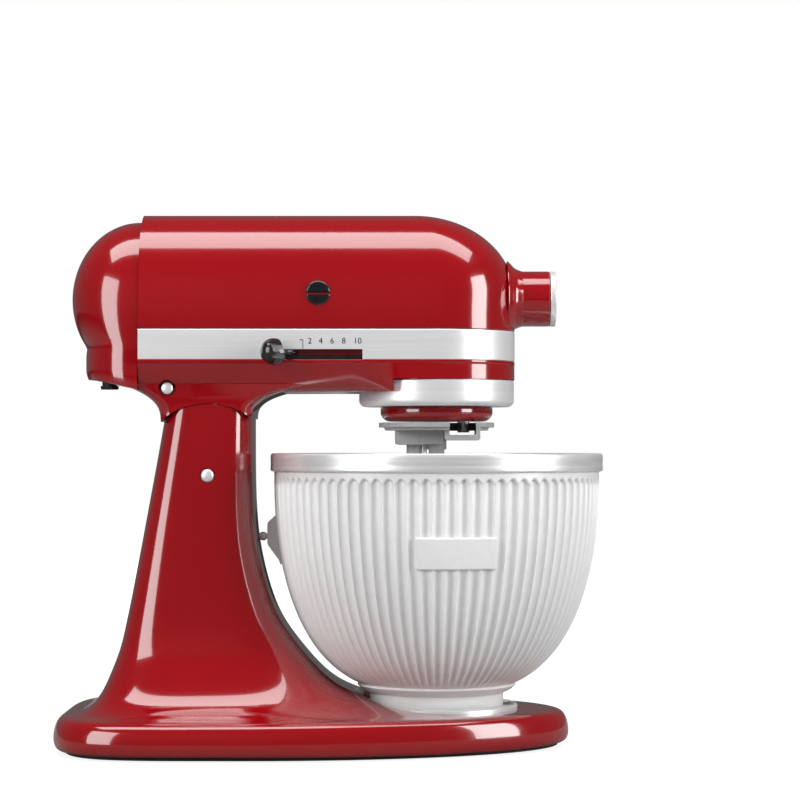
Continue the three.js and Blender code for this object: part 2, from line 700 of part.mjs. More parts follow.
function bowlLiner() {
  const inner = (offset) => WALL_LEVELS.slice(1).map((z) => [bowlRadius(z - 8) - 9 + offset, z]);
  const profile = [
    [0, 50], [38, 50], ...inner(0).slice(1), [BOWL_RADIUS - 9, 181], [RIM_RADIUS - 13.5, RIM_TOP_Z],
    [RIM_RADIUS - 1, RIM_TOP_Z], [RIM_RADIUS, RIM_TOP_Z - 1.5], [RIM_RADIUS, RIM_LOW_Z + 2],
    [RIM_RADIUS - 1.4, RIM_LOW_Z + 0.2], [BOWL_RADIUS - 7.4, RIM_LOW_Z + 0.2], ...inner(1.6).slice(1).reverse(), [38, 48.4], [0, 48.4],
  ];
  return turned(profile, 30);
}

function coolant() {
  const outside = WALL_LEVELS.map((z) => [bowlRadius(z) - 3.4, z]);
  const inside = WALL_LEVELS.slice(2).map((z) => [bowlRadius(z - 8) - 6.8, z]);
  const top = [[BOWL_RADIUS - 3.4, 176], [BOWL_RADIUS - 6.4, 176]];
  return turned([[0, 40.2], [43, 40.2], ...outside, ...top, ...inside.reverse(), [42, 47.8], [0, 47.8]], 30);
}

function bowlBracket() {
  const side = shapeOf([[-104.8, 156], [-113.6, 148], [-113.6, 133], [-103.6, 118], [-101.8, 118], [-104, 154]]);
  const web = across(side, -2.2, 2.2);
  const ball = new THREE.SphereGeometry(3.1, 12, 8).translate(-116.4, 0, 139);
  const bead = turned([[0, 20], [bowlRadius(118) + 0.4, 118], [bowlRadius(130) + 0.4, 130], [BOWL_RADIUS + 0.4, 160], [0, 190]], 30);
  return join(cut(web, bead), ball);
}

function dasher() {
  const arm = (side) => [
    [side * 4, 62], [side * 34, 62], [side * 62, 72], [side * 78, 92], [side * 86, 118], [side * 88, 150], [side * 80, 150],
    [side * 77, 120], [side * 70, 97], [side * 56, 80], [side * 34, 71], [side * 14, 71], [side * 4, 84],
  ];
  const blades = [1, -1].map((side) => across(shapeOf(arm(side)), -2.5, 2.5));
  const braces = [1, -1].map((side) => across(shapeOf([
    [side * 4, 118], [side * 79, 132], [side * 80, 141], [side * 4, 128],
  ]), -2, 2));
  const spindle = turned([[0, 58], [6, 58], [6.5, 62], [6.5, 150], [4.6, 168], [4.6, 184], [3.3, 187], [2.9, 196], [0, 196]], 20);
  return join(spindle, ...blades, ...braces);
}

// ---- small pieces ----------------------------------------------------------------------------------

// A fastener head with a slot, standing on +Z.
function slottedCap(radius, height, stem, stemRadius) {
  const profile = [[0, -stem], [stemRadius, -stem], [stemRadius, 0], [radius, 0], [radius - 0.8, height], [0, height]];
  return cut(turned(profile, 16), box(-radius - 1, radius + 1, -0.9, 0.9, height * 0.35, height + 1));
}

function hingePin() {
  const tip = COLUMN_HALF_WIDTH + 1.2;
  const edge = COLUMN_HALF_WIDTH - 0.6;
  return alongY(turned([
    [0, -tip], [2.6, -tip + 0.5], [PIN_RADIUS, -edge], [PIN_RADIUS, edge], [2.6, tip - 0.5], [0, tip],
  ], 20));
}

function brush(side) {
  return side < 0 ? box(-3, 3, -44.5, -12.6, -4, 4) : box(-3, 3, 12.6, 44.5, -4, 4);
}

function hubBezel() {
  const fullRing = tube(HUB_RADIUS, HUB_BORE, HUB_FRONT_X + GAP, HUB_FRONT_X + 1.2, 28);
  const lidSwing = box(-17.3, -12, -4.5, 4.5, HUB_FRONT_X, HUB_FRONT_X + 1.3);
  const ring = cut(fullRing, lidSwing);
  const rim = tube(HUB_RADIUS, HUB_RADIUS - 1.1, HUB_FRONT_X + 1.1, HUB_FRONT_X + 4, 28);
  const ears = [-1, 1].map((side) => cut(
    box(-16.4, -12, side * 6.5 - 2, side * 6.5 + 2, HUB_FRONT_X + 1.1, HUB_FRONT_X + 4),
    alongY(disc(1.2, -12, 12, 10)).translate(-14.4, 0, HUB_FRONT_X + 2.8),
  ));
  return alongX(join(ring, rim, ...ears));
}

function hubCover() {
  const plate = disc(16.8, HUB_FRONT_X + 1.6, HUB_FRONT_X + 4.4, 28);
  const notches = [-1, 1].map((side) => box(-20, -11.5, side * 8.6 - 4.4, side * 8.6 + 4.4, 150, 170));
  const top = box(-20, -16, -20, 20, 150, 170);
  const pinHole = alongY(disc(1.2, -20, 20, 10)).translate(-14.4, 0, HUB_FRONT_X + 2.8);
  return alongX(cut(plate, ...notches, top, pinHole));
}

function thumbscrew() {
  const grip = raised(shapeOf(gearOutline(14, 1.2, { backlash: 0.6 })), 21, 31);
  return alongY(join(grip, disc(3, 10, 22, 14)));
}

// Modelled straight across from its pivot, then turned to the off position by its group.
function speedArm() {
  const hub = disc(6, -1.2, 1.2, 18);
  const arm = box(-3, 3, -LEVER_REACH + 6, 0, -1.2, 1.2);
  const bend = shapeOf([[-3, -70], [3, -70], [3, -79], [-5, -86], [-9, -86], [-3, -77]]);
  return cut(join(hub, arm, raised(bend, -1.2, 1.2)), disc(2.6, -3, 3, 12));
}

function speedKnob() {
  return cut(
    new THREE.SphereGeometry(KNOB_RADIUS, 14, 9),
    box(-4, 7, -1, 12, -1.5, 1.5),
  );
}

function leverPost() {
  return disc(2.3, 243, LEVER_Z + 1.4, 12);
}

function lockShaft() {
  const tip = -COLUMN_HALF_WIDTH - 0.6;
  return alongY(turned([[0, tip], [2.4, tip + 0.6], [4, tip + 2], [4, 53], [0, 53]], 18));
}

function lockLever() {
  const arm = shapeOf([[-5.4, 0], [-3.4, 5], [3.4, 5], [5.4, 0], [3.6, -22], [-3.6, -22]]);
  const knob = alongY(disc(6.2, 53.4, 60, 20)).translate(0, 0, -22);
  return join(across(arm, 53.4, 57), knob);
}

function cordBushing() {
  return cut(turned([[0, 237.2], [5.8, 237.2], [6.2, 239.5], [5, 239.5], [5, 252], [0, 252]], 18), disc(3.2, 230, 260, 14));
}

// ---- the object --------------------------------------------------------------------------------------

const base = assembly(
  0, 0, 0,
  node('base_casting', baseCasting(), ENAMEL),
  node('base_gasket', baseGasket(), RUBBER),
  ...FEET.map(([x, y], i) => node(`foot_${i + 1}`, rubberFoot(), RUBBER, x, y, 0)),
  node('bowl_clamp_plate', clampPlate(), STEEL, BOWL_X, 0, 0),
  ...CLAMP_SCREWS.map((angle, i) => {
    const [x, y] = polar(30, angle);
    return node(`clamp_screw_${i + 1}`, clampScrew(), STEEL, BOWL_X + x, y, 0);
  }),
  node('hinge_pin', hingePin(), STEEL, HINGE_X, 0, HINGE_Z),
);

const head = assembly(
  0, 0, 0,
  node('upper_housing', upperHousing(), ENAMEL),
  node('hub_barrel', hubBarrel(), ENAMEL),
  node('lower_gearcase', lowerGearcase(), ENAMEL),
  node('rear_cover', rearCover(), ENAMEL),
  node('trim_band', trimBand(), STEEL),
  node('trim_ring', tube(51.9, 44.4, 225.4, 243.1, 44), STEEL, BOWL_X, 0, 0),
  node('ring_gear', internalGear(RING_TEETH, PLANET_MODULE, 30.2, 229, 236.9), GEAR_STEEL, BOWL_X, 0, 0),
  node('centre_bushing', tube(9, 6.4, 238, 252, 20), BRONZE, BOWL_X, 0, 0),
  node('hub_bezel', hubBezel(), STEEL, 0, 0, SHAFT_Z),
  node('hub_hinge_pin', alongY(disc(0.9, -8, 8, 10)), STEEL, HUB_FRONT_X + 2.8, 0, SHAFT_Z + 14.4),
  node('field_stator', fieldStator(), IRON),
  node('brush_left', brush(-1), CARBON, 3.4, 0, 299),
  node('brush_right', brush(1), CARBON, 3.4, 0, 299),
  node('brush_cap_left', alongY(slottedCap(8.2, 3, 3, 6)).scale(1, -1, 1), BLACK, 3.4, -48.6, 299),
  node('brush_cap_right', alongY(slottedCap(8.2, 3, 3, 6)), BLACK, 3.4, 48.6, 299),
  node('lever_post', leverPost(), STEEL, LEVER_PIVOT_X, LEVER_PIVOT_Y, 0),
  node('cord_bushing', cordBushing(), BLACK, -138, 0, 0),
);

const armature = assembly(
  0, 0, SHAFT_Z,
  node('armature_shaft', armatureShaft(), STEEL),
  node('rotor_core', rotorCore(), IRON),
  node('commutator', alongX(tube(12, 5.3, -8, 13, 20)), COPPER),
  node('cooling_fan', coolingFan(), GREY_PLASTIC),
);

const wormGearShaft = assembly(
  WHEEL_X, WHEEL_Y, 0,
  node('worm_wheel', wormWheel(), BRONZE),
  node('drive_pinion', drivePinion(), GEAR_STEEL),
);

const planetary = assembly(
  BOWL_X, 0, 0,
  node('centre_gear', centreGear(), GEAR_STEEL),
  node('crown_gear', crownGear(), GEAR_STEEL),
  node('centre_shaft', disc(6, 216.6, 312, 20), STEEL),
  node('planetary_cover', planetaryCover(), ENAMEL),
  node('drive_adapter', driveAdapter(), GREY_PLASTIC),
);

const beater = assembly(
  BOWL_X + PLANET_OFFSET, 0, 0,
  node('beater_shaft', beaterShaft(), STEEL),
  node('beater_pinion', beaterPinion(), GEAR_STEEL),
);

const hubDrive = assembly(BOWL_X, 0, SHAFT_Z, node('hub_drive_shaft', hubDriveShaft(), GEAR_STEEL));
const hubLid = assembly(0, 0, SHAFT_Z, node('hub_cover', hubCover(), STEEL));
const hubKnob = assembly(145, 0, SHAFT_Z, node('hub_thumbscrew', thumbscrew(), BLACK));

const speedLever = assembly(
  LEVER_PIVOT_X, LEVER_PIVOT_Y, LEVER_Z,
  node('speed_arm', speedArm(), STEEL),
  node('speed_knob', speedKnob(), BLACK, -7, -89.3, 0),
);
speedLever.rotation.z = radians(LEVER_REST);

const lockLeverGroup = assembly(
  LOCK_X, 0, LOCK_Z,
  node('lock_shaft', lockShaft(), STEEL),
  node('lock_lever', lockLever(), BLACK),
);

const bowl = assembly(
  BOWL_X, 0, 0,
  node('bowl_shell', bowlShell(), WHITE_PLASTIC),
  node('bowl_liner', bowlLiner(), ALUMINIUM),
  node('coolant_fill', coolant(), GEL),
  node('bowl_bracket', bowlBracket(), WHITE_PLASTIC),
);

const dasherGroup = assembly(BOWL_X, 0, 0, node('dasher', dasher(), WHITE_PLASTIC));

const mixer = new THREE.Group();
mixer.position.x = FRAME_X;
mixer.add(
  base, head, armature, wormGearShaft, planetary, beater, hubDrive, hubLid, hubKnob,
  speedLever, lockLeverGroup, bowl, dasherGroup,
);

export default mixer;
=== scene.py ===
"""Looks for the tilt-head mixer with its ice cream bowl: meshes, materials, light and camera."""
import json
import math

import bpy
import bmesh
import numpy as np
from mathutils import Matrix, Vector


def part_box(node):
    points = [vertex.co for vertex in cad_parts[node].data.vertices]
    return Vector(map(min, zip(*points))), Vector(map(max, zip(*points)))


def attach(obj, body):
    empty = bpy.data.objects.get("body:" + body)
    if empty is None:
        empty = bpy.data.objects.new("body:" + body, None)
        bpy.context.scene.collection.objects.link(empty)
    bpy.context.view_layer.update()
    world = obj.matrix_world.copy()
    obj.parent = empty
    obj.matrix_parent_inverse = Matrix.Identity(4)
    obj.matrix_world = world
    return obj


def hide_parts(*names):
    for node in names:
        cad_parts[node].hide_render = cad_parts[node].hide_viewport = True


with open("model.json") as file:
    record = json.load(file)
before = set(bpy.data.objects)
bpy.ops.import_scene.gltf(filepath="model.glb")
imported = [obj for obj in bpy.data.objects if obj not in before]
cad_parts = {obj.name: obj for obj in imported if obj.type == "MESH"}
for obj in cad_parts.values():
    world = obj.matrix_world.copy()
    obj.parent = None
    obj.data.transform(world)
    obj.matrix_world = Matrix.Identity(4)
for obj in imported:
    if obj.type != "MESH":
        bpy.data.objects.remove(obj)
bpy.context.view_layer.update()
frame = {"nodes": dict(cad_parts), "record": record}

MM = 0.001


def middle(node):
    """The middle of a CAD node's box at rest, in millimetres."""
    low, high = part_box(node)
    return (low + high) / 2 / MM


def extent(node):
    """The low and high corners of a CAD node's box at rest, in millimetres."""
    low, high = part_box(node)
    return low / MM, high / MM


# ---- places, in millimetres, read from the frame ------------------------------------------------
BOWL = middle("centre_shaft").x
LINER_HIGH = extent("bowl_liner")[1]
HOUSING_LOW, HOUSING_HIGH = extent("upper_housing")
BAND_LOW, BAND_HIGH = extent("trim_band")
BASE_LOW, BASE_HIGH = extent("base_casting")
PIN = middle("hinge_pin")
HUB_Z = middle("hub_bezel").z
HEAD_HALF = HOUSING_HIGH.y
HEAD_TOP = HOUSING_HIGH.z
HEAD_REAR = HOUSING_LOW.x
SHOULDER = BAND_HIGH.z + 0.5
NOSE = BOWL + HEAD_HALF
HINGE_ARC = 46.6  # radius of the joint between the head's neck and the column
COLUMN_HALF = 45.0
SHIFT = BOWL - 81.3  # the layout below is measured from the middle of the base
BOWL_AXIS = (BOWL, 0)

# ---- mesh tools ---------------------------------------------------------------------------------
WELD = 1e-6  # metres


def place_mesh(name, vertices, faces, weld):
    """An object made of points in millimetres, its normals facing out."""
    mesh = bpy.data.meshes.new(name)
    mesh.from_pydata([tuple(c * MM for c in v) for v in vertices], [], faces)
    work = bmesh.new()
    work.from_mesh(mesh)
    if weld:
        bmesh.ops.remove_doubles(work, verts=work.verts, dist=WELD)
        bmesh.ops.dissolve_degenerate(work, edges=work.edges, dist=WELD)
    bmesh.ops.recalc_face_normals(work, faces=work.faces)
    work.to_mesh(mesh)
    work.free()
    piece = bpy.data.objects.new(name, mesh)
    bpy.context.scene.collection.objects.link(piece)
    return piece


def add(name, vertices, faces, body, slot, replaces=(), sharp=35.0):
    """A visible piece that rides a body and stands in for the CAD nodes it replaces."""
    return dress(place_mesh(name, vertices, faces, True), body, slot, replaces, sharp)


def dress(piece, body, slot, replaces=(), sharp=35.0):
    if sharp is not None:
        smooth(piece, sharp)
    piece.data.materials.clear()
    piece.data.materials.append(MATERIALS[slot])
    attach(piece, body)
    if replaces:
        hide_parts(*replaces)
    return piece


def smooth(piece, angle):
    piece.data.polygons.foreach_set("use_smooth", [True] * len(piece.data.polygons))
    piece.data.set_sharp_from_angle(angle=math.radians(angle))


def skin(rings, wrap=False, caps=True):
    """Vertices and quads through rings of equally many points."""
    count = len(rings[0])
    vertices = [p for ring in rings for p in ring]
    faces = []
    spans = len(rings) if wrap else len(rings) - 1
    for r in range(spans):
        following = (r + 1) % len(rings)
        for i in range(count):
            j = (i + 1) % count
            here, there = r * count, following * count
            faces.append((here + i, here + j, there + j, there + i))
    if caps and not wrap:
        last = (len(rings) - 1) * count
        faces.append(tuple(range(count))[::-1])
        faces.append(tuple(last + i for i in range(count)))
    return vertices, faces


def turned(profile, centre, sides=96, wrap=False):
    """A profile of (radius, z) points turned about the vertical through centre."""
    rings = []
    for i in range(sides):
        c, s = math.cos(2 * math.pi * i / sides), math.sin(2 * math.pi * i / sides)
        rings.append([(centre[0] + r * c, centre[1] + r * s, z) for r, z in profile])
    count = len(profile)
    vertices = [p for ring in rings for p in ring]
    faces = []
    for r in range(sides):
        nxt = (r + 1) % sides
        for i in range(count if wrap else count - 1):
            j = (i + 1) % count
            faces.append((r * count + i, r * count + j, nxt * count + j, nxt * count + i))
    return vertices, faces


def rounded(points, radius, steps=4, closed=False):
    """The outline with each corner replaced by a short arc."""
    result = []
    count = len(points)
    for i, point in enumerate(points):
        if not closed and i in (0, count - 1):
            result.append(tuple(point))
            continue
        here = np.array(point, float)
        before = np.array(points[i - 1], float) - here
        after = np.array(points[(i + 1) % count], float) - here
        reach = min(radius, 0.45 * np.linalg.norm(before), 0.45 * np.linalg.norm(after))
        start = here + before / np.linalg.norm(before) * reach
        end = here + after / np.linalg.norm(after) * reach
        for step in range(steps + 1):
            t = step / steps
            result.append(tuple((1 - t) ** 2 * start + 2 * t * (1 - t) * here + t * t * end))
    return result


def turn(vertices, axis, centre):
    """Stands a shape made about the vertical along X or Y instead, at centre."""
    cx, cy, cz = centre
    if axis == "x":
        return [(cx + z, cy + y, cz - x) for x, y, z in vertices]
    return [(cx + x, cy + z, cz - y) for x, y, z in vertices]


def lathe(name, profile, centre, sides, body, slot, replaces=(), sharp=30, axis=None, wrap=False):
    """A visible piece turned about the vertical, or laid along X or Y when axis says so."""
    if axis is None:
        return add(name, *turned(profile, centre, sides, wrap), body, slot, replaces, sharp)
    vertices, faces = turned(profile, (0, 0), sides, wrap)
    return add(name, turn(vertices, axis, centre), faces, body, slot, replaces, sharp)


def cutter(vertices, faces):
    return place_mesh("tool", vertices, faces, False)


def carve(piece, tool, operation="DIFFERENCE", angle=30.0):
    """Applies one boolean, with an object or a pair of vertices and faces, and drops its tool."""
    if isinstance(tool, tuple):
        tool = cutter(*tool)
    modifier = piece.modifiers.new("carve", "BOOLEAN")
    modifier.operation = operation
    modifier.solver = "EXACT"
    modifier.object = tool
    graph = bpy.context.evaluated_depsgraph_get()
    mesh = bpy.data.meshes.new_from_object(piece.evaluated_get(graph))
    piece.modifiers.clear()
    piece.data = mesh
    bpy.data.objects.remove(tool)
    smooth(piece, angle)


def block(low, high):
    """A box between two corners."""
    (x0, y0, z0), (x1, y1, z1) = low, high
    vertices = [(x, y, z) for z in (z0, z1) for x, y in ((x0, y0), (x1, y0), (x1, y1), (x0, y1))]
    faces = [(3, 2, 1, 0), (4, 5, 6, 7), (0, 1, 5, 4), (1, 2, 6, 5), (2, 3, 7, 6), (3, 0, 4, 7)]
    return vertices, faces


def drum(radius, length, axis, centre, sides):
    """A solid cylinder about its centre."""
    profile = [(0, -length / 2), (radius, -length / 2), (radius, length / 2), (0, length / 2)]
    vertices, faces = turned(profile, (0, 0), sides)
    if axis == "z":
        return [(x + centre[0], y + centre[1], z + centre[2]) for x, y, z in vertices], faces
    return turn(vertices, axis, centre), faces


def smoothstep(low, high, value):
    share = min(1.0, max(0.0, (value - low) / (high - low)))
    return share * share * (3 - 2 * share)


# ---- materials ----------------------------------------------------------------------------------
COAT_ROUGHNESS = 0.03
GLOSS_SPREAD = 0.15  # how far roughness strays to either side of its middle


def finish_of(name, color, roughness, metallic, coat, grain, spread, bump, stretch=(1, 1, 1)):
    """A principled surface whose colour, roughness and bump vary with a fine noise."""
    material = bpy.data.materials.new(name)
    material.use_nodes = True
    nodes = material.node_tree.nodes
    links = material.node_tree.links
    shader = nodes["Principled BSDF"]
    shader.inputs["Metallic"].default_value = metallic
    shader.inputs["Coat Weight"].default_value = coat
    shader.inputs["Coat Roughness"].default_value = COAT_ROUGHNESS
    place = nodes.new("ShaderNodeTexCoord")
    scale = nodes.new("ShaderNodeMapping")
    scale.inputs["Scale"].default_value = stretch
    noise = nodes.new("ShaderNodeTexNoise")
    noise.inputs["Scale"].default_value = grain
    noise.inputs["Detail"].default_value = 4.0
    links.new(place.outputs["Object"], scale.inputs["Vector"])
    links.new(scale.outputs["Vector"], noise.inputs["Vector"])
    tint = nodes.new("ShaderNodeValToRGB")
    darker = [c * (1 - spread) for c in color]
    lighter = [min(1.0, c * (1 + spread)) for c in color]
    tint.color_ramp.elements[0].position = 0.3
    tint.color_ramp.elements[1].position = 0.7
    tint.color_ramp.elements[0].color = (*darker, 1)
    tint.color_ramp.elements[1].color = (*lighter, 1)
    links.new(noise.outputs["Fac"], tint.inputs["Fac"])
    links.new(tint.outputs["Color"], shader.inputs["Base Color"])
    gloss = nodes.new("ShaderNodeMapRange")
    gloss.inputs["To Min"].default_value = roughness * (1 - GLOSS_SPREAD)
    gloss.inputs["To Max"].default_value = roughness * (1 + GLOSS_SPREAD)
    links.new(noise.outputs["Fac"], gloss.inputs["Value"])
    links.new(gloss.outputs["Result"], shader.inputs["Roughness"])
    relief = nodes.new("ShaderNodeBump")
    relief.inputs["Strength"].default_value = bump
    relief.inputs["Distance"].default_value = 0.001
    links.new(noise.outputs["Fac"], relief.inputs["Height"])
    links.new(relief.outputs["Normal"], shader.inputs["Normal"])
    return material


FINISHES = {  # slot: name, colour, roughness, metallic, coat, grain, spread, bump, stretch
    "enamel": ("red_enamel", (0.255, 0.0, 0.003), 0.14, 0.0, 1.0, 9.0, 0.03, 0.004),
    "steel": (
        "brushed_steel", (0.82, 0.82, 0.83), 0.36, 0.5, 0.0, 220.0, 0.04, 0.02, (0.03, 0.03, 6),
    ),
    "aluminium": (
        "satin_aluminium", (0.86, 0.86, 0.865), 0.32, 0.62, 0.0, 160.0, 0.05, 0.04, (0.15, 0.15, 3),
    ),
    "gear_steel": ("gear_steel", (0.34, 0.35, 0.37), 0.35, 1.0, 0.0, 120.0, 0.15, 0.08),
    "bronze": ("machined_bronze", (0.52, 0.33, 0.13), 0.32, 1.0, 0.0, 120.0, 0.14, 0.06),
    "rubber": ("black_rubber", (0.012, 0.012, 0.012), 0.75, 0.0, 0.0, 400.0, 0.3, 0.2),
    "black_plastic": ("black_moulding", (0.008, 0.008, 0.009), 0.2, 0.0, 0.4, 150.0, 0.3, 0.02),
    "grey_plastic": ("grey_moulding", (0.36, 0.36, 0.365), 0.42, 0.0, 0.0, 300.0, 0.08, 0.06),
    "white_plastic": ("white_moulding", (0.74, 0.74, 0.74), 0.36, 0.0, 0.15, 180.0, 0.02, 0.02),
    "gel": ("sealed_gel", (0.5, 0.7, 0.8), 0.2, 0.0, 0.0, 30.0, 0.1, 0.0),
}
MATERIALS = {slot: finish_of(*look) for slot, look in FINISHES.items()}


# ---- camera and light ---------------------------------------------------------------------------
ROOM_TONE = 0.11  # what the polished parts see between the lamps
FLOOR_GLOW = 0.86  # keeps the floor as pale as the backdrop
FLOOR_FADE = (0.5, 1.6)  # metres from the middle over which the floor turns white
FLOOR_REACH = 9000
FLOOR_LEVEL = -0.3


def camera():
    """A long lens level with the bowl's rim, tipped up a little to match the photograph."""
    data = bpy.data.cameras.new("camera")
    data.lens = 114.0
    data.sensor_width = 36.0
    eye = bpy.data.objects.new("camera", data)
    eye.location = ((56.8 + SHIFT) * MM, -1.7, 0.1985)
    eye.rotation_euler = (math.radians(91.08), 0, 0)
    bpy.context.scene.collection.objects.link(eye)
    bpy.context.scene.camera = eye


def softbox(name, place, aim, size, power, mirrored=True):
    """A square-edged lamp; one that isn't mirrored gives light without showing in the gloss."""
    data = bpy.data.lights.new(name, "AREA")
    data.shape = "RECTANGLE"
    data.size, data.size_y = size
    data.energy = power
    lamp = bpy.data.objects.new(name, data)
    lamp.location = place
    lamp.rotation_euler = (Vector(aim) - Vector(place)).to_track_quat("-Z", "Y").to_euler()
    lamp.visible_camera = False
    lamp.visible_glossy = mirrored
    bpy.context.scene.collection.objects.link(lamp)


def studio():
    """Five lamps in a dim room whose backdrop the camera sees as white."""
    softbox("overhead", (0.0, -0.38, 1.75), (0, -0.05, 0.25), (2.6, 0.75), 32)
    softbox("left_wall", (-1.35, -1.15, 0.6), (-0.05, 0, 0.2), (0.9, 1.3), 20)
    softbox("right_wall", (1.6, -0.75, 0.55), (0.1, 0, 0.2), (0.75, 1.2), 25)
    softbox("front_key", (-0.5, -2.2, 1.1), (0, 0, 0.15), (1.4, 1.0), 14, False)
    softbox("back_key", (0.5, 2.2, 1.1), (0, 0, 0.15), (1.4, 1.0), 44, False)
    world = bpy.data.worlds.new("studio")
    world.use_nodes = True
    nodes, links = world.node_tree.nodes, world.node_tree.links
    path = nodes.new("ShaderNodeLightPath")
    tone = nodes.new("ShaderNodeMixRGB")
    tone.inputs["Color1"].default_value = (ROOM_TONE, ROOM_TONE, ROOM_TONE, 1)
    tone.inputs["Color2"].default_value = (1, 1, 1, 1)
    links.new(path.outputs["Is Camera Ray"], tone.inputs["Fac"])
    links.new(tone.outputs["Color"], nodes["Background"].inputs["Color"])
    bpy.context.scene.world = world
    bpy.context.scene.view_settings.view_transform = "Standard"


def floor():
    """A pale floor that meets the white backdrop with no horizon line."""
    corners = ((-1, -1), (1, -1), (1, 1), (-1, 1))
    vertices = [(x * FLOOR_REACH, y * FLOOR_REACH, FLOOR_LEVEL) for x, y in corners]
    mesh = bpy.data.meshes.new("floor")
    mesh.from_pydata([tuple(c * MM for c in v) for v in vertices], [], [(0, 1, 2, 3)])
    plane = bpy.data.objects.new("floor", mesh)
    bpy.context.scene.collection.objects.link(plane)
    material = finish_of("pale_floor", (0.2, 0.2, 0.2), 0.8, 0.0, 0.0, 3.0, 0.01, 0.0)
    nodes, links = material.node_tree.nodes, material.node_tree.links
    shader = nodes["Principled BSDF"]
    shader.inputs["Specular IOR Level"].default_value = 0.0
    shader.inputs["Emission Color"].default_value = (1, 1, 1, 1)
    path = nodes.new("ShaderNodeLightPath")
    place = nodes.new("ShaderNodeTexCoord")
    distance = nodes.new("ShaderNodeVectorMath")
    distance.operation = "LENGTH"
    links.new(place.outputs["Object"], distance.inputs[0])
    spread = nodes.new("ShaderNodeMapRange")
    spread.inputs["From Min"].default_value = FLOOR_FADE[0]
    spread.inputs["From Max"].default_value = FLOOR_FADE[1]
    spread.inputs["To Min"].default_value = FLOOR_GLOW
    spread.inputs["To Max"].default_value = 1.0
    links.new(distance.outputs["Value"], spread.inputs["Value"])
    glow = nodes.new("ShaderNodeMath")
    glow.operation = "MULTIPLY"
    links.new(path.outputs["Is Camera Ray"], glow.inputs[0])
    links.new(spread.outputs["Result"], glow.inputs[1])
    links.new(glow.outputs["Value"], shader.inputs["Emission Strength"])
    mesh.materials.append(material)


# ---- head ---------------------------------------------------------------------------------------
HEAD_CURVE = 2.3  # how square the head is in cross-section
NOSE_RUN = 66.7  # from the nose back to where the head's top begins to fall
NOSE_RUN_Z = 300.0
CASE_TOP = 253.6
HUB_RADIUS = 18.5
LOCK_BORE = 5.6, 8, "y", (-95.5 + SHIFT, -46, 237.0), 48


def head_front(z):
    """Where the head ends in front at this height."""
    share = min(1.0, max(0.0, (z - NOSE_RUN_Z) / (HEAD_TOP - NOSE_RUN_Z)))
    return NOSE - NOSE_RUN + NOSE_RUN * math.sqrt(1 - share**2)


def head_ring(z, width, front, rear=HEAD_REAR, arc=72, run=24):
    """One level of the head: straight sides with a half round in front."""
    centre = front - width
    ring = [(rear + (centre - rear) * i / run, -width, z) for i in range(run)]
    for i in range(arc + 1):
        angle = -math.pi / 2 + math.pi * i / arc
        ring.append((centre + width * math.cos(angle), width * math.sin(angle), z))
    ring += [(centre + (rear - centre) * i / run, width, z) for i in range(1, run + 1)]
    return ring


def upper_housing():
    """The head's upper shell with the hub barrel in one, and the fillet round the barrel."""
    levels, lip = 64, SHOULDER + 0.3
    foot = ((265.0, 1.4), (SHOULDER - 0.2, 1.4), (SHOULDER - 0.1, 0.6), (lip, 0.05))
    rings = [head_ring(z, HEAD_HALF - inset, NOSE - inset) for z, inset in foot]
    for i in range(1, levels + 1):
        angle = math.pi / 2 * i / levels
        height = lip + (HEAD_TOP - lip) * math.sin(angle) ** (2 / HEAD_CURVE)
        width = max(0.02, HEAD_HALF * math.cos(angle) ** (2 / HEAD_CURVE))
        front = max(head_front(height), NOSE - NOSE_RUN + width)
        z = min(height, HEAD_TOP - 0.01 * (levels - i) / levels)  # no two levels may coincide
        rings.append(head_ring(z, width, front))
    names = ("upper_housing", "hub_barrel")
    shell = add("upper_housing_skin", *skin(rings), "head", "enamel", names, 28)
    centre = Vector((BOWL, 0, HUB_Z))
    end = extent("hub_bezel")[0].x - 0.3 - BOWL
    barrel = [
        (0, 20), (HUB_RADIUS, 20), (HUB_RADIUS, end - 0.6), (HUB_RADIUS - 0.6, end),
        (14, end), (14, end - 18), (0, end - 18),
    ]
    tube, tube_faces = turned(barrel, (0, 0), 96)
    carve(shell, (turn(tube, "x", centre), tube_faces), "UNION", 28)
    fillet = [(26, 47), (23.5, 49.8), (20.2, 52.6), (18.5, 57.5), (18.0, 57.5), (18.0, 47)]
    look = ("head", "enamel", (), 40)
    lathe("hub_fillet", rounded(fillet, 2, closed=True), centre, 96, *look, axis="x", wrap=True)


def gearcase_half(x, z):
    """Half width of the gearcase: sloping sides behind, upright sides round the nose."""
    drop = min(1.0, max(0.0, (CASE_TOP - z) / 18.6))
    slope = HEAD_HALF - 0.4 - 8.5 * drop - 5.5 * drop**6
    return slope + (HEAD_HALF - 0.25 - slope) * smoothstep(26 + SHIFT, 60 + SHIFT, x)


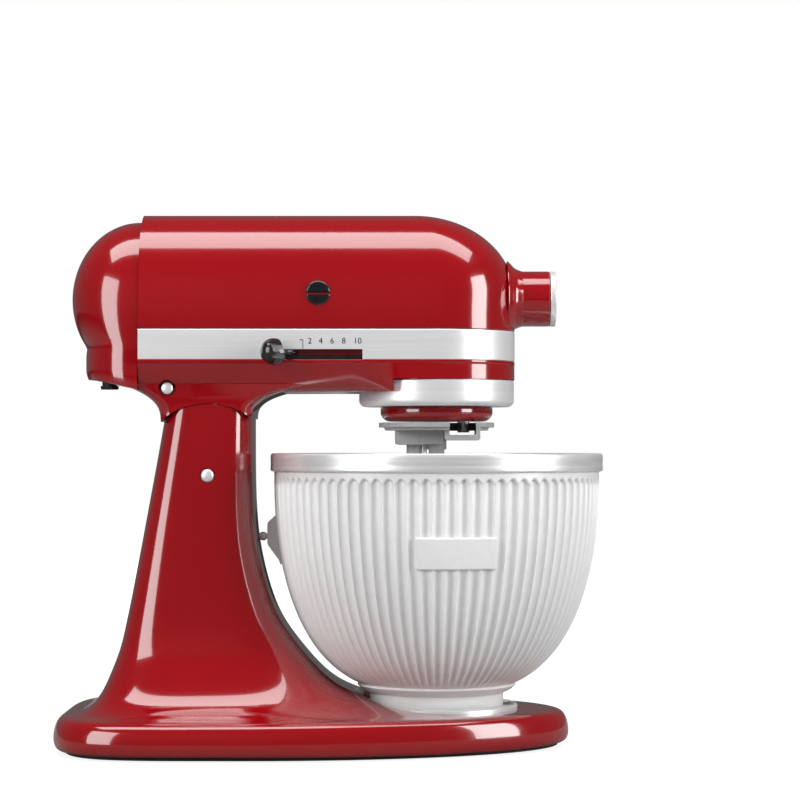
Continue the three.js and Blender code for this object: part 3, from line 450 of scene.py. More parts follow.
def lower_gearcase():
    levels, depth = 26, 18.3
    shoulder = ((264.7, 1.5), (256.0, 1.5), (255.7, 0.5), (255.3, 0.05), (CASE_TOP, 0))
    rings = [head_ring(z, HEAD_HALF - inset, NOSE - inset, run=60) for z, inset in shoulder]
    for i in range(levels + 1):
        z = CASE_TOP - 0.3 - depth * (i / levels)
        ring = []
        for x, y, _ in head_ring(z, HEAD_HALF - 0.15, NOSE - 0.15, run=60):
            if abs(y) >= HEAD_HALF - 0.2:
                y = math.copysign(gearcase_half(x, z), y)
            ring.append((x, y, z))
        rings.append(ring)
    case = add("lower_gearcase_skin", *skin(rings), "head", "enamel", ("lower_gearcase",), 24)
    trim_ring_bore = drum(52.25, 40, "z", (BOWL, 0, 223.35), 128)
    front_step = block((BOWL - 29, -70, 200), (BOWL + 90, 70, 243.3))
    lever_slot = block((-22 + SHIFT, -60, 258.3), (31.5 + SHIFT, -44, 262.6))
    for space in (trim_ring_bore, front_step, lever_slot, drum(*LOCK_BORE)):
        carve(case, space)
    seat = rounded([(9, 227.2), (43.9, 227.2), (43.9, 244.5), (9, 244.5)], 1.0, closed=True)
    lathe("ring_seat", seat, BOWL_AXIS, 96, "head", "gear_steel", (), 35, wrap=True)


def rounded_block(z, rear, front, half, radius, steps=10):
    """One level of a casting: a rectangle in plan with rounded corners."""
    ring = []
    corners = ((front, half, 0), (rear, half, 90), (rear, -half, 180), (front, -half, 270))
    for x, y, start in corners:
        cx = x - math.copysign(radius, x - (rear + front) / 2)
        cy = y - math.copysign(radius, y)
        for i in range(steps + 1):
            angle = math.radians(start + 90 * i / steps)
            ring.append((cx + radius * math.cos(angle), cy + radius * math.sin(angle), z))
    return ring


def neck():
    """The neck under the rear of the head, hollowed to the hinge arc, and its lug."""
    low, high, levels = 208, 240, 25
    rings = []
    for i in range(levels + 1):
        z = low + (high - low) * (i / levels)
        rise = max(0.0, (z - 217) / 19)
        rear = -100.2 - 0.05 * max(0, z - 212) - 15.5 * rise**2.6
        front = -40.5 + 24 * rise**3.2
        rings.append(rounded_block(z, rear + SHIFT, front + SHIFT, COLUMN_HALF - 0.2, 9))
    piece = add("head_neck", *skin(rings), "head", "enamel", (), 30)
    carve(piece, drum(HINGE_ARC + 0.5, 140, "y", (PIN.x, 0, PIN.z), 160))
    carve(piece, drum(*LOCK_BORE))
    lug, steps, lug_top = [], 48, 228.0
    for y, inset in ((-27, 1.2), (-25.8, 0), (25.8, 0), (27, 1.2)):
        radius = 20 - inset
        ring = []
        for i in range(steps + 1):
            angle = math.radians(90 + 332 * i / steps)
            ring.append((PIN.x + radius * math.cos(angle), y, PIN.z + radius * math.sin(angle)))
        edge = PIN.x + radius + 0.5
        ring += [(edge, y, PIN.z + 4), (edge, y, lug_top), (PIN.x + 5 + inset, y, lug_top)]
        lug.append(ring)
    add("hinge_lug", *skin(lug), "head", "gear_steel", (), 30)


def rear_cover():
    """The motor's domed cover: a skirt below the seam, a dome above it, and a sloping chin."""
    low, top = 243.6, extent("rear_cover")[1].z
    seam, levels, columns = 264, 72, 64
    dome_z, dome_radius, dome_reach = 297, 52.2, 46.3
    joint = HEAD_REAR - 0.35
    rings = []
    for i in range(levels + 1):
        z = low + (top - low) * math.sin(math.pi / 2 * (i / levels)) ** 0.95
        share = min(1.0, max(0.0, (z - SHOULDER) / (top - SHOULDER)))
        half = max(0.3, (HEAD_HALF - 1.4) * (1 - share**HEAD_CURVE) ** (1 / HEAD_CURVE))
        half -= 0.5 * min(1.0, max(0.0, seam - z) / 12)
        dome = dome_reach * math.sqrt(max(0.0, 1 - ((z - dome_z) / dome_radius) ** 2)) + 1.8
        skirt = 38.7 - 1.6 * max(0.0, (250 - z) / 6.5) ** 2
        mix = 1 / (1 + math.exp(-(z - seam) / 1.1))
        reach = max(0.3, skirt + (dome - skirt) * mix)
        ring = []
        for k in range(columns + 1):
            angle = math.pi / 2 + math.pi * k / columns
            ring.append((joint - reach * abs(math.cos(angle)) ** 0.85, half * math.sin(angle), z))
        rings.append(ring)
    chin = [
        (x, y * 0.985, 235.9 + 7.9 * min(1.0, (joint - x) / 34) + 0.4) for x, y, _ in rings[0]
    ]
    chin_edge = [(joint + (x - joint) * 0.97, y * 0.96, z - 0.35) for x, y, z in chin]
    rings = [chin_edge, chin] + rings
    add("rear_cover_skin", *skin(rings), "head", "enamel", ("rear_cover",), 34)


def trim_band():
    """The band round the head, with the speed lever's slot and a dark ledge behind it."""
    low, high, rear = BAND_LOW.z, BAND_HIGH.z, HEAD_REAR + 0.2
    section = [  # inset, height
        (1.2, low), (0.25, low), (0, low + 0.35), (0, high - 0.35), (0.25, high), (1.2, high),
    ]
    rings = [head_ring(z, HEAD_HALF - inset, NOSE - inset, rear, run=80) for inset, z in section]
    band = add("trim_band_skin", *skin(rings, wrap=True), "head", "steel", ("trim_band",), 30)
    x0, x1 = -22.2 + SHIFT, 32.4 + SHIFT
    carve(band, block((x0, -60, 250), (x1, -44, 262.4)))
    ledge = block((x0 + 0.2, -51.9, low + 0.1), (x1 - 0.2, -50.95, 258.6))
    add("slot_ledge", *ledge, "head", "black_plastic")


def dial():
    """Speed numbers and the stop mark beside them, laid on the near face of the band."""
    face = -HEAD_HALF - 0.02
    size, depth, height = 5.4, 0.05, 266.0
    scene = bpy.context.scene
    for text, x in (("2", -1.9), ("4", 5.2), ("6", 12.6), ("8", 20.2), ("10", 29.2)):
        curve = bpy.data.curves.new(f"number_{text}", "FONT")
        curve.body = text
        curve.size = size * MM
        curve.align_x = "CENTER"
        curve.extrude = depth * MM
        label = bpy.data.objects.new(f"number_{text}", curve)
        label.location = ((x + SHIFT) * MM, face * MM, height * MM)
        label.rotation_euler = (math.pi / 2, 0, 0)
        scene.collection.objects.link(label)
        graph = bpy.context.evaluated_depsgraph_get()
        mesh = bpy.data.meshes.new_from_object(label.evaluated_get(graph))
        piece = bpy.data.objects.new(f"speed_number_{text}", mesh)
        piece.matrix_world = label.matrix_world.copy()
        piece.location, piece.rotation_euler = label.location, label.rotation_euler
        scene.collection.objects.link(piece)
        bpy.data.objects.remove(label)
        dress(piece, "head", "black_plastic", (), None)
    x0, foot, bend, top = -8.6 + SHIFT, 262.6, 268.2, 268.7
    marks = (
        ("tick_top", (x0, bend), (x0 + 2.4, top)),
        ("tick_side", (x0 + 2.0, foot), (x0 + 2.4, bend)),
    )
    for name, (xa, za), (xb, zb) in marks:
        bar = block((xa, face - depth, za), (xb, face + depth, zb))
        add(name, *bar, "head", "black_plastic", (), 20)


# ---- base ---------------------------------------------------------------------------------------
AROUND = 192
PLAN_MIDDLE = -40 + SHIFT  # where the foot plate is widest
COLUMN = (  # height, rear face, front face, half width
    (260, -93, -40.7, 44.9), (232, -97, -40.7, 44.9), (203, -101.8, -40.7, 45),
    (163, -109.2, -40.5, 45.6), (130, -115.2, -37.6, 47), (98, -121.3, -28.6, 49),
    (82, -124.7, -21.0, 50.5), (66, -128, -9, 53),
)
SWEEP = (  # share of the way out to the plate's edge, height at the sides, height in front
    (0.1, 50, 47), (0.2, 41, 37), (0.35, 33, 30), (0.55, 28.2, 26.2), (0.8, 25.2, 24.7),
)
PLATE_EDGE = (  # inset from the outline, height
    (11, 24.6), (3.2, 23.2), (0.0, 15.5), (-0.6, 8.0), (1.2, 3.2), (6.5, 2.2), (12, 2.3),
)


def around(i):
    return 2 * math.pi * (i + 0.5) / AROUND


def plan_point(t, inset=0.0):
    """A point of the foot plate's outline: half an ellipse in front, a blunt tail behind."""
    c, s = math.cos(t), math.sin(t)
    half = BASE_HIGH.y - inset
    if c > 0:
        return PLAN_MIDDLE + (BASE_HIGH.x - PLAN_MIDDLE - inset) * c, half * s
    reach = PLAN_MIDDLE - BASE_LOW.x - inset
    return PLAN_MIDDLE - reach * abs(c) ** 0.42, half * math.copysign(abs(s) ** 0.55, s)


def column_point(t, rear, front, half, power=0.5):
    c, s = math.cos(t), math.sin(t)
    x = (rear + front) / 2 + (front - rear) / 2 * math.copysign(abs(c) ** power, c)
    return x + SHIFT, half * math.copysign(abs(s) ** power, s)


def base_profile(t):
    """Control points down one side of the casting, from the column's top to under the foot."""
    points = [(*column_point(t, rear, front, half), z) for z, rear, front, half in COLUMN]
    inner = np.array(points[-1][:2])
    outer = np.array(plan_point(t))
    way = outer - inner
    length = np.linalg.norm(way)
    front_share = max(0.0, math.cos(t)) ** 1.5
    for u, side_z, front_z in SWEEP:
        share = u ** (0.68 + 0.32 * front_share) * (length - 13) / length
        x, y = inner + way * share
        points.append((x, y, side_z + (front_z - side_z) * front_share))
    for inset, z in PLATE_EDGE:
        x, y = outer - way / length * inset
        points.append((x, y, z))
    return points


def spline(points, steps=6):
    """A uniform cubic B-spline through the ends of its control points."""
    points = np.array([points[0], points[0], *points, points[-1], points[-1]], float)
    result = []
    for i in range(len(points) - 3):
        a, b, c, d = points[i : i + 4]
        for k in range(steps):
            t = k / steps
            w = ((1 - t) ** 3, 3 * t**3 - 6 * t * t + 4, -3 * t**3 + 3 * t * t + 3 * t + 1, t**3)
            result.append(tuple((w[0] * a + w[1] * b + w[2] * c + w[3] * d) / 6))
    return result


def base_casting():
    """Foot plate and column in one, with the head's pocket, the bowl's seat and the pin's bores."""
    columns = [spline(base_profile(around(i))) for i in range(AROUND)]
    rings = [[columns[i][k] for i in range(AROUND)] for k in range(len(columns[0]))]
    casting = add("base_skin", *skin(rings), "base", "enamel", ("base_casting",), 40)
    above_arc = cutter(*block((-160 + SHIFT, -70, 197), (20 + SHIFT, 70, 300)))
    carve(above_arc, drum(HINGE_ARC, 160, "y", (PIN.x, 0, PIN.z), 160))
    lug_pocket = block((-94.8 + SHIFT, -27.8, 158), (-45.6 + SHIFT, 27.8, 260))
    bowl_seat = drum(54.8, 20, "z", (BOWL, 0, 32.4), 128)
    pin_bores = [drum(4.9, 12, "y", (PIN.x, y, PIN.z), 48) for y in (-COLUMN_HALF, COLUMN_HALF)]
    for space in (above_arc, lug_pocket, bowl_seat, *pin_bores):
        carve(casting, space)


def gasket():
    """The rubber ring under the plate's edge, and the five feet."""
    low, high = (corner.z for corner in extent("base_gasket"))
    section = [  # inset, height
        (6.8, high), (6.8, low + 0.3), (7.2, low), (11, low), (11.3, low + 0.3), (11.3, high),
    ]
    rings = []
    for inset, z in section:
        rings.append([(*plan_point(around(i), inset), z) for i in range(AROUND)])
    look = ("base", "rubber")
    add("base_gasket_skin", *skin(rings, wrap=True), *look, ("base_gasket",), 30)
    pad = rounded([(0, 0), (7.4, 0), (8.4, 1.0), (8.4, 1.9), (3.2, 1.9), (3.2, 10), (0, 10)], 0.5)
    groove = [(0, 0), (2.6, 0), (3.0, 0.5), (3.8, 0.5), (4.2, 0)]
    for i in range(1, 6):
        centre = middle(f"foot_{i}")
        place = (centre.x, centre.y)
        lathe(f"foot_{i}_skin", groove + pad[1:], place, 48, *look, (f"foot_{i}",), 30)


def clamp_plate():
    """The bowl's seat: a dished plate whose inturned edge is broken by three gaps."""
    dish = [
        (0, 22.8), (53.4, 22.8), (54.1, 23.8), (54.1, 26.6), (53.2, 27.6), (46.9, 27.6),
        (46.9, 26.7), (52.3, 26.7), (52.3, 24.2), (0, 24.2),
    ]
    look = ("base", "steel", ("bowl_clamp_plate",), 30)
    plate = lathe("clamp_plate_skin", rounded(dish, 0.5), BOWL_AXIS, 160, *look)
    for i in range(3):
        gap = [sector(math.radians(120 * i), 0.297, 52.2, 40, z, 12) for z in (24.4, 30)]
        carve(plate, skin(gap))


def hinge_pin():
    reach = extent("hinge_pin")[1].y
    end = [(0, -reach), (2.6, -reach + 0.25), (3.9, -reach + 1.0), (4.5, -reach + 2.0)]
    profile = end + [(r, -y) for r, y in end[::-1]]
    lathe("hinge_pin_skin", profile, PIN, 64, "base", "steel", ("hinge_pin",), 30, axis="y")


# ---- bowl ---------------------------------------------------------------------------------------
RIBS = 84
SHOULDER_RADIUS = 108.7
SHOULDER_Z = 179
WALL_DEPTH = 145  # from the shoulder down to where the wall's curve would close
FLUTE_TOP = 178.8
FLUTE_ARCH = 4.2  # how far each flute's head falls from its middle to its ridges
FLUTE_DEPTH = 0.024  # of the wall's radius
FOOT_TOP = 41
FOOT_RADIUS = 53.0
GRIP_ANGLES = (-83.7, 96.3)  # degrees round the bowl to the two smooth patches
GRIP_PROUD = 0.7


def wall_radius(z):
    share = min(1.0, max(0.0, (SHOULDER_Z - z) / WALL_DEPTH))
    return SHOULDER_RADIUS * max(1e-6, 1 - share**2.2) ** (1 / 3)


def liner_wall(inset, levels):
    """Profile points of the steel liner's wall, this far inside the shell."""
    return [(wall_radius(z - 8) - inset, z) for z in levels]


def patch_share(angle, z):
    """1 on the two smooth grip patches of the wall, 0 elsewhere."""
    best = 0.0
    for grip in GRIP_ANGLES:
        off = abs((angle - math.radians(grip) + math.pi) % (2 * math.pi) - math.pi)
        side = 1 - smoothstep(math.radians(13.9), math.radians(14.5), off)
        level = smoothstep(120.6, 121.6, z) * (1 - smoothstep(140.9, 141.9, z))
        best = max(best, side * level)
    return best


def circle(radius, z, count, x=BOWL, y=0.0):
    steps = [2 * math.pi * i / count for i in range(count)]
    return [(x + radius * math.cos(a), y + radius * math.sin(a), z) for a in steps]


def sector(angle, spread, outer, inner, z, count):
    """One level of a wedge about the bowl's axis: its outer arc, then its inner arc back."""
    return [
        (BOWL + r * math.cos(angle + a), r * math.sin(angle + a), z)
        for r, way in ((outer, spread), (inner, -spread))
        for a in np.linspace(-way, way, count)
    ]


def fluted_ring(z, count):
    """One level of the shell's outside: wide hollows between narrow ridges, under rounded heads."""
    radius = wall_radius(z) if z > FOOT_TOP else FOOT_RADIUS
    depth = FLUTE_DEPTH * radius * (1 - smoothstep(46.5, 41.5, z))
    ring = []
    for i in range(count):
        angle = 2 * math.pi * i / count
        across = abs(math.sin(RIBS * angle / 2))
        head = FLUTE_TOP - FLUTE_ARCH * (1 - math.sqrt(1 - across**2))
        groove = (1 - across**2) ** 0.34 * smoothstep(head, head - 1.6, z)
        patch = patch_share(angle, z)
        r = radius - depth * groove * (1 - patch) + GRIP_PROUD * patch
        ring.append((BOWL + r * math.cos(angle), r * math.sin(angle), z))
    return ring


def bowl_shell():
    """The fluted outside of the bowl with its foot ring, three lugs and two parting ribs."""
    count, wall = RIBS * 12, 5
    levels = [182.2, 181.6, 179.4]
    for high, low, steps in (
        (178.6, 174.6, 9), (173.3, 143, 12), (142.2, 140.4, 6), (139, 123, 7), (122.2, 120.2, 6),
        (118.2, 46, 32),
    ):
        levels += list(np.linspace(high, low, steps))
    levels += [44.5, 43, 41.5, 40.2]
    rings = [
        circle(wall_radius(z) - wall, z, count) for z in (46, 49, 54, 62, 76, 100, 140, 182.2)
    ]
    rings += [fluted_ring(z, count) for z in levels]
    foot = (
        (50.5, 38.0), (48.2, 36.6), (46.6, 36.0), (45.0, 35.4), (44.6, 34.6), (44.5, 25.3),
        (44.1, 24.8), (41.8, 24.8), (41.5, 25.2), (41.5, 33.5), (41.0, 34.0),
    )
    rings += [circle(r, z, count) for r, z in foot]
    add("bowl_shell_skin", *skin(rings), "bowl", "white_plastic", ("bowl_shell",), 60)
    for i in range(3):
        angle = math.radians(-34 + 120 * i)
        lug = []
        for z, grow in ((24.8, -0.2), (25.0, 0), (26.0, 0), (26.2, -0.2)):
            lug.append(sector(angle, 0.24, 51.3 + grow, 43.5, z, 14))
        add(f"bowl_foot_lug_{i + 1}", *skin(lug), "bowl", "white_plastic", (), 30)
    for name, degrees in (("near", -90 + 17.3), ("far", 90 + 17.3)):
        turn_by = math.radians(degrees)
        seam = []
        for z in (121.8, 140.8):
            r = wall_radius(z) + 0.95
            corners = ((r - 0.6, -0.0035), (r, -0.0028), (r, 0.0028), (r - 0.6, 0.0035))
            polar = [(q, turn_by + a) for q, a in corners]
            seam.append([(BOWL + q * math.cos(a), q * math.sin(a), z) for q, a in polar])
        add(f"parting_rib_{name}", *skin(seam), "bowl", "white_plastic", (), 30)


def bowl_liner():
    """The steel lining, with the wide rim that shows above the shell."""
    rim, top = LINER_HIGH.x - BOWL, LINER_HIGH.z
    lip = [
        (SHOULDER_RADIUS - 8.0, 191), (rim - 11, top), (rim - 0.6, top), (rim, top - 2.4),
        (rim - 0.25, 186.6), (rim, 185.0), (rim - 0.1, 182.9), (rim - 1.6, 182.3),
        (SHOULDER_RADIUS - 7.3, 182.3),
    ]
    profile = [(0, 50.2), (30, 50.2), (44, 51.5)] + liner_wall(9, np.linspace(178, 56, 40))[::-1]
    profile += [(SHOULDER_RADIUS - 9.0, 182), (SHOULDER_RADIUS - 8.2, 190)] + rounded(lip, 1.3, 5)
    profile += liner_wall(7.4, np.linspace(178, 56, 30)) + [(46.5, 50), (40, 48.8), (0, 48.6)]
    look = ("bowl", "aluminium", ("bowl_liner",), 40)
    lathe("bowl_liner_skin", profile, BOWL_AXIS, 288, *look)


def gel_fill():
    """The freezing gel between the shell and the liner."""
    profile = [(0, 48.3), (40, 48.4), (47, 49.6)] + liner_wall(7.1, np.linspace(56, 178, 30))
    profile += [(wall_radius(z) - 5.4, z) for z in np.linspace(178, 48, 30)]
    profile += [(54, 46.4), (0, 46.4)]
    lathe("gel_fill_skin", profile, BOWL_AXIS, 96, "bowl", "gel", ("coolant_fill",), 40)


def plates(outline, stations):
    """The side outline, measured from the bowl's axis, at each Y station."""
    return [[(BOWL + x, y, z) for x, z in outline] for y in stations]


def ball_profile(radius, reach, steps):
    """Half a circle to turn, stopping just short of its poles."""
    arc = [(radius * math.cos(a), radius * math.sin(a)) for a in np.linspace(-reach, reach, steps)]
    return [(0, -radius)] + arc + [(0, radius)]


def bowl_bracket():
    outline = rounded(
        [(-104.2, 156.5), (-113.4, 148), (-113.4, 133.6), (-101.6, 117.5), (-98.6, 117.5),
         (-101.5, 156.5)], 1.6, 5, True,
    )
    look = ("bowl", "white_plastic")
    rings = []
    for y, inset in ((-2.2, 0.5), (-1.8, 0), (1.8, 0), (2.2, 0.5)):
        rings.append([(BOWL + x + inset * 0.5, y, z) for x, z in outline])
    add("bowl_bracket_skin", *skin(rings), *look, ("bowl_bracket",), 35)
    rib = ((-112.6, 147.2), (-111.4, 147.9), (-103.4, 120.6), (-104.6, 119.8))
    add("bracket_rib", *skin(plates(rib, (-3.0, 3.0))), *look, (), 30)
    place = (BOWL - 116.2, 0, 139)
    lathe("bracket_ball", ball_profile(3.0, 1.45, 20), place, 48, *look, (), 40, axis="x")


def soft_edge(piece, width):
    bevel = piece.modifiers.new("soft_edge", "BEVEL")
    bevel.width, bevel.segments, bevel.limit_method = width * MM, 2, "ANGLE"


def dasher():
    """Two scraper blades on a central spindle."""
    spindle = [
        (0, 58.3), (6, 58.3), (6.5, 62), (6.5, 150), (4.6, 168), (4.6, 184), (3.3, 187),
        (2.8, 195.4), (0, 195.9),
    ]
    look = ("dasher", "white_plastic")
    spindle = rounded(spindle, 0.8, 3)
    lathe("dasher_spindle", spindle, BOWL_AXIS, 64, *look, ("dasher",), 30)
    blade = [
        (3, 62.2), (34, 62.2), (62, 72), (77.5, 92), (85.5, 118), (87.5, 149.5), (80, 149.5),
        (77, 120), (70, 97), (56, 80), (34, 71), (14, 71), (3, 84),
    ]
    brace = [(3, 118.4), (79, 132), (80, 140.6), (3, 127.6)]
    for side, end in ((-1, "rear"), (1, "front")):
        for name, outline, half in (("blade", blade, 2.4), ("brace", brace, 1.9)):
            soft = [(side * x, z) for x, z in rounded(outline, 5, 5, True)]
            shape = skin(plates(soft, (-half, half)))
            soft_edge(add(f"dasher_{name}_{end}", *shape, *look, (), 30), 0.7)


# ---- drive and trim ring ------------------------------------------------------------------------
def trim_ring():
    profile = [
        (44.6, 243.0), (44.6, 228), (46, 225.5), (49.4, 225.5), (51.9, 228.2), (51.9, 242.6),
        (51.4, 243.0),
    ]
    look = ("head", "steel", ("trim_ring",), 30)
    lathe("trim_ring_skin", rounded(profile, 1.6, 6, True), BOWL_AXIS, 192, *look, wrap=True)


def planetary():
    """The turning cover and, below it, the grey adapter that drives the dasher."""
    cover = [(6.2, 226.4), (6.2, 216.2), (33.5, 215.7), (37.5, 219.5), (37.6, 226.4)]
    look = ("planetary", "enamel", ("planetary_cover",), 30)
    cover = rounded(cover, 3.2, 8, True)
    cover = lathe("planetary_skin", cover, BOWL_AXIS, 160, *look, wrap=True)
    beater_bore = drum(4.5, 40, "z", (middle("beater_shaft").x, 0, 220), 48)
    carve(cover, beater_bore)

    disc = [
        (6.6, 215.0), (6.6, 209.7), (34.6, 209.7), (35, 211.6), (38.7, 211.7), (38.7, 214.6),
        (38.3, 215),
    ]
    grey = ("planetary", "grey_plastic")
    disc = rounded(disc, 0.6, 4, True)
    disc = lathe("drive_disc", disc, BOWL_AXIS, 160, *grey, ("drive_adapter",), 30, wrap=True)
    clip_space = block((BOWL + 8.2, -60, 200), (BOWL + 25.7, 9, 230))
    carve(disc, clip_space)

    boss = [
        (-27.8, 200.6), (-25.0, 200.1), (-18, 200.1), (-8, 200.3), (4.6, 200.6), (4.8, 209.9),
        (-27.9, 209.9),
    ]
    rings = []
    for y, inset in ((-13.9, 3.5), (-10.4, 0), (10.4, 0), (13.9, 3.5)):
        rings.append([(BOWL + x + (inset * 0.5 if x < -20 else 0), y, z) for x, z in boss])
    soft_edge(add("drive_boss", *skin(rings), *grey, (), 30), 0.6)

    clip = [  # a channel, open above
        (4.9, 214.0), (4.9, 204.2), (6.2, 203.1), (27.4, 203.1), (28.6, 204.2), (28.6, 214.0),
        (25.7, 214.0), (25.7, 207.2), (25.2, 206.7), (8.7, 206.7), (8.2, 207.2), (8.2, 214.0),
    ]
    soft_edge(add("drive_clip", *skin(plates(clip, (-28.0, 11.8))), *grey, (), 30), 0.4)

    root = 200.4
    leg = [(0, root), (5.1, root), (5.1, 191.4), (4.2, 190.2), (0, 190.2)]
    pin = [(0, root), (2.1, root), (2.1, 188.6), (1.5, 188.1), (0, 188.1)]
    for name, x, profile, slot in (
        ("drive_leg", -15.1, leg, "grey_plastic"), ("drive_leg_pin", -8.6, pin, "steel"),
    ):
        lathe(name, rounded(profile, 0.6, 3), (BOWL + x, 0), 48, "planetary", slot, (), 30)
    socket = [
        (4.05, 200), (4.05, 188.2), (5.3, 188.2), (5.3, 197), (6.7, 197), (6.7, 209.9),
        (4.05, 209.9),
    ]
    socket = rounded(socket, 0.4, 3, True)
    lathe("drive_socket", socket, BOWL_AXIS, 64, *grey, (), 30, wrap=True)


# ---- hub, caps and levers -----------------------------------------------------------------------
def hub():
    """The bezel, its hinged cover, and the two ears that the cover hangs from."""
    front = extent("hub_bezel")[0].x
    centre = (0, 0, HUB_Z)
    ring = [
        (14.1, 0), (18.2, 0), (HUB_RADIUS, 0.4), (HUB_RADIUS, 3.4), (18.0, 3.8), (17.3, 3.6),
        (17.3, 1.1), (14.1, 1.1),
    ]
    ring = rounded([(r, front + x) for r, x in ring], 0.35, 3, True)
    look = ("head", "steel", ("hub_bezel",), 30)
    bezel = lathe("hub_bezel_skin", ring, centre, 128, *look, axis="x", wrap=True)
    lid_swing = block((front - 1, -4.5, HUB_Z + 12), (front + 1.5, 4.5, HUB_Z + 17.2))
    carve(bezel, lid_swing)
    low, high = (corner.x for corner in extent("hub_cover"))
    cover = [
        (0, low), (16.2, low), (16.7, low + 0.5), (16.7, high - 1.2), (15.6, high - 0.4),
        (13.6, high - 0.5), (12.8, high - 0.1), (0, high),
    ]
    look = ("hub_lid", "steel", ("hub_cover",), 30)
    lid = lathe("hub_lid_skin", rounded(cover, 0.4, 3), centre, 128, *look, axis="x")
    carve(lid, block((low - 2, -20, HUB_Z + 15.9), (high + 2, 20, HUB_Z + 22)))
    for name, side in (("near", -1), ("far", 1)):
        y0, y1 = sorted((side * 4.2, side * 13))
        carve(lid, block((low - 2, y0, HUB_Z + 11.5), (high + 2, y1, HUB_Z + 22)))
        y = side * 6.5
        ear = block((front + 0.9, y - 1.9, HUB_Z + 12.1), (front + 3.5, y + 1.9, HUB_Z + 16.3))
        add(f"hub_ear_{name}", *ear, "head", "steel")


def thumbscrew():
    """The hub's clamping screw: a scalloped grip on a plain shank."""
    centre = middle("hub_thumbscrew")
    low, high = (corner.y for corner in extent("hub_thumbscrew"))
    grip = (  # distance below the grip's face, radius, height of the scallops
        (10, 7.6, 0.0), (9.2, 8.6, 0.5), (1.2, 8.6, 0.5), (0.3, 7.9, 0.3), (0, 6.6, 0.0),
    )
    scallops, count = 14, 168
    rings = []
    for below, r, lobe in grip:
        ring = []
        for i in range(count):
            angle = 2 * math.pi * i / count
            q = r + lobe * math.cos(scallops * angle)
            x, z = centre.x + q * math.cos(angle), centre.z + q * math.sin(angle)
            ring.append((x, high - below, z))
        rings.append(ring)
    add("hub_knob_grip", *skin(rings), "hub_knob", "black_plastic", ("hub_thumbscrew",), 40)
    shank = []
    for y in (low, high - 9.8):
        level = circle(2.9, y, 32, centre.x, centre.z)
        shank.append([(x, y, z) for x, z, y in level])
    add("hub_knob_shank", *skin(shank), "hub_knob", "steel", (), 40)


def brush_caps():
    """The slotted caps over the motor's brushes."""
    for name, sign in (("brush_cap_left", -1), ("brush_cap_right", 1)):
        low, high = extent(name)
        face = (high.y if sign > 0 else low.y) + sign * 1.3
        out = sign * face
        centre = ((low.x + high.x) / 2, 0, (low.z + high.z) / 2)
        profile = [(0, out), (7.2, out), (8.15, out - 0.9), (8.15, out - 5.5), (0, out - 5.5)]
        profile = [(r, sign * y) for r, y in rounded(profile, 0.6, 4)]
        look = ("head", "black_plastic", (name,), 30)
        cap = lathe(f"{name}_skin", profile, centre, 96, *look, axis="y")
        y0, y1 = sorted((face - sign * 1.9, face + sign * 2))
        x, z = centre[0], centre[2]
        carve(cap, block((x - 9, y0, z - 1), (x + 9, y1, z + 1)))


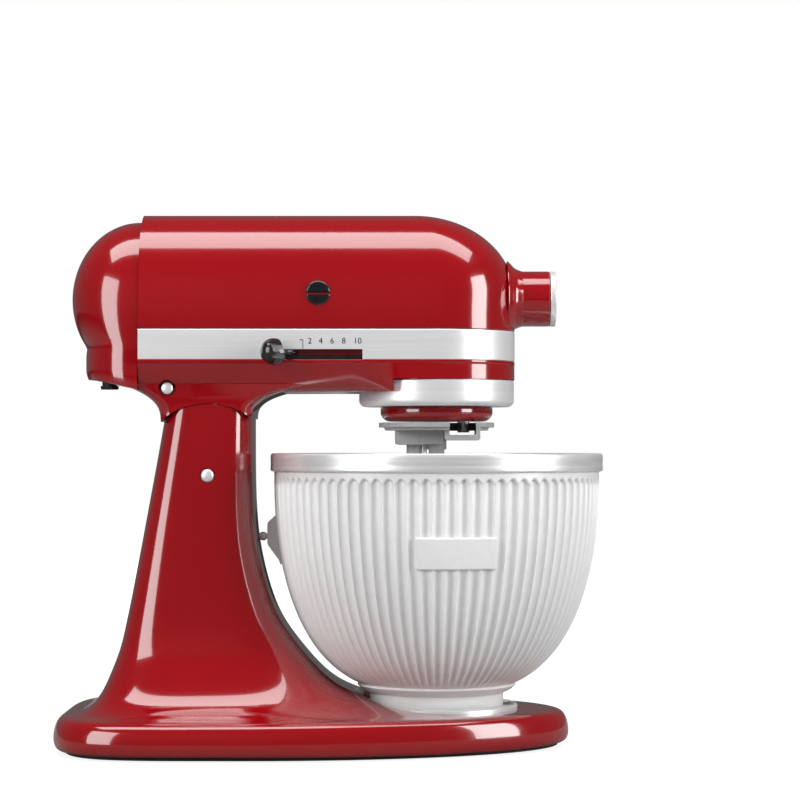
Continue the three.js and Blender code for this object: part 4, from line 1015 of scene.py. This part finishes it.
def levers():
    """The speed lever: a ball with a thumb scoop, on an arm that bends in to its post."""
    knob, pivot = middle("speed_knob"), middle("lever_post")
    vertices, faces = turned(ball_profile(8.7, 1.5, 48), (0, 0), 96)
    ball = [(x + knob.x, y + knob.y, z + knob.z) for x, y, z in vertices]
    look = ("speed_lever", "black_plastic")
    ball = add("speed_knob_skin", ball, faces, *look, ("speed_knob",), 40)
    vertices, faces = drum(9.5, 30, "y", (0, 0, 0), 64)
    c, s = math.cos(math.radians(-38)), math.sin(math.radians(-38))
    x0, y0, z0 = knob.x + 13.4, knob.y, knob.z + 3.4
    scoop = [(x0 + x * c - y * s, y0 + x * s + y * c, z0 + z) for x, y, z in vertices]
    carve(ball, (scoop, faces), angle=40)
    section = (
        (-1, -0.7), (-0.8, -1), (0.8, -1), (1, -0.7), (1, 0.7), (0.8, 1), (-0.8, 1), (-1, 0.7),
    )
    steps = ((2.5, 1.5), (6.5, 5.5), (10.5, 10), (12.6, 18))
    path = [(knob.x + x, knob.y + y) for x, y in steps] + [(pivot.x, pivot.y)]
    rings = []
    for i, (x, y) in enumerate(path):
        half, high = (2.9, 1.2) if i > 1 else (2.2, 1.6)
        rings.append([(x + half * u, y + 0.35 * half * u, knob.z + high * v) for u, v in section])
    add("speed_arm_skin", *skin(rings), *look, ("speed_arm",), 40)


def lock_parts():
    """The head lock's shaft through the neck, and its lever on the far side."""
    low, high = (corner.y for corner in extent("lock_shaft"))
    centre = middle("lock_shaft")
    place = (centre.x, 0, centre.z)
    shaft = [
        (0, low), (2.4, low + 0.3), (3.6, low + 1.1), (3.95, low + 2.2), (3.95, high), (0, high),
    ]
    lathe("lock_shaft_skin", shaft, place, 64, "lock", "steel", ("lock_shaft",), 30, axis="y")
    low, high = (corner.y for corner in extent("lock_lever"))
    outline = [(-5.4, 0), (-3.6, 5), (3.6, 5), (5.4, 0), (3.4, -20), (-3.4, -20)]
    outline = rounded(outline, 2.0, 5, True)
    rings = []
    for out, s in ((0, 0.94), (0.5, 1), (3.1, 1), (3.6, 0.94)):
        rings.append([(centre.x + x * s, low + out, centre.z + z * s) for x, z in outline])
    look = ("lock", "black_plastic")
    add("lock_lever_skin", *skin(rings), *look, ("lock_lever",), 30)
    grip = [
        (0, low), (5.4, low), (6.2, low + 1.2), (6.2, high - 1.4), (4.8, high), (0, high),
    ]
    place = (centre.x, 0, centre.z - 22)
    lathe("lock_lever_grip", rounded(grip, 0.8, 4), place, 64, *look, (), 30, axis="y")


def finish_nodes():
    """The CAD pieces that keep their own shape get the record's slot as a procedural material."""
    slots = {part["node"]: part["material_slot"] for part in frame["record"]["subparts"]}
    for name, piece in frame["nodes"].items():
        piece.data.materials.clear()
        piece.data.materials.append(MATERIALS[slots[name]])


camera()
studio()
floor()
finish_nodes()
for make in (
    upper_housing, lower_gearcase, neck, rear_cover, trim_band, dial, trim_ring, base_casting,
    gasket, clamp_plate, hinge_pin, bowl_shell, bowl_liner, gel_fill, bowl_bracket, dasher,
    planetary, hub, thumbscrew, brush_caps, levers, lock_parts,
):
    make()
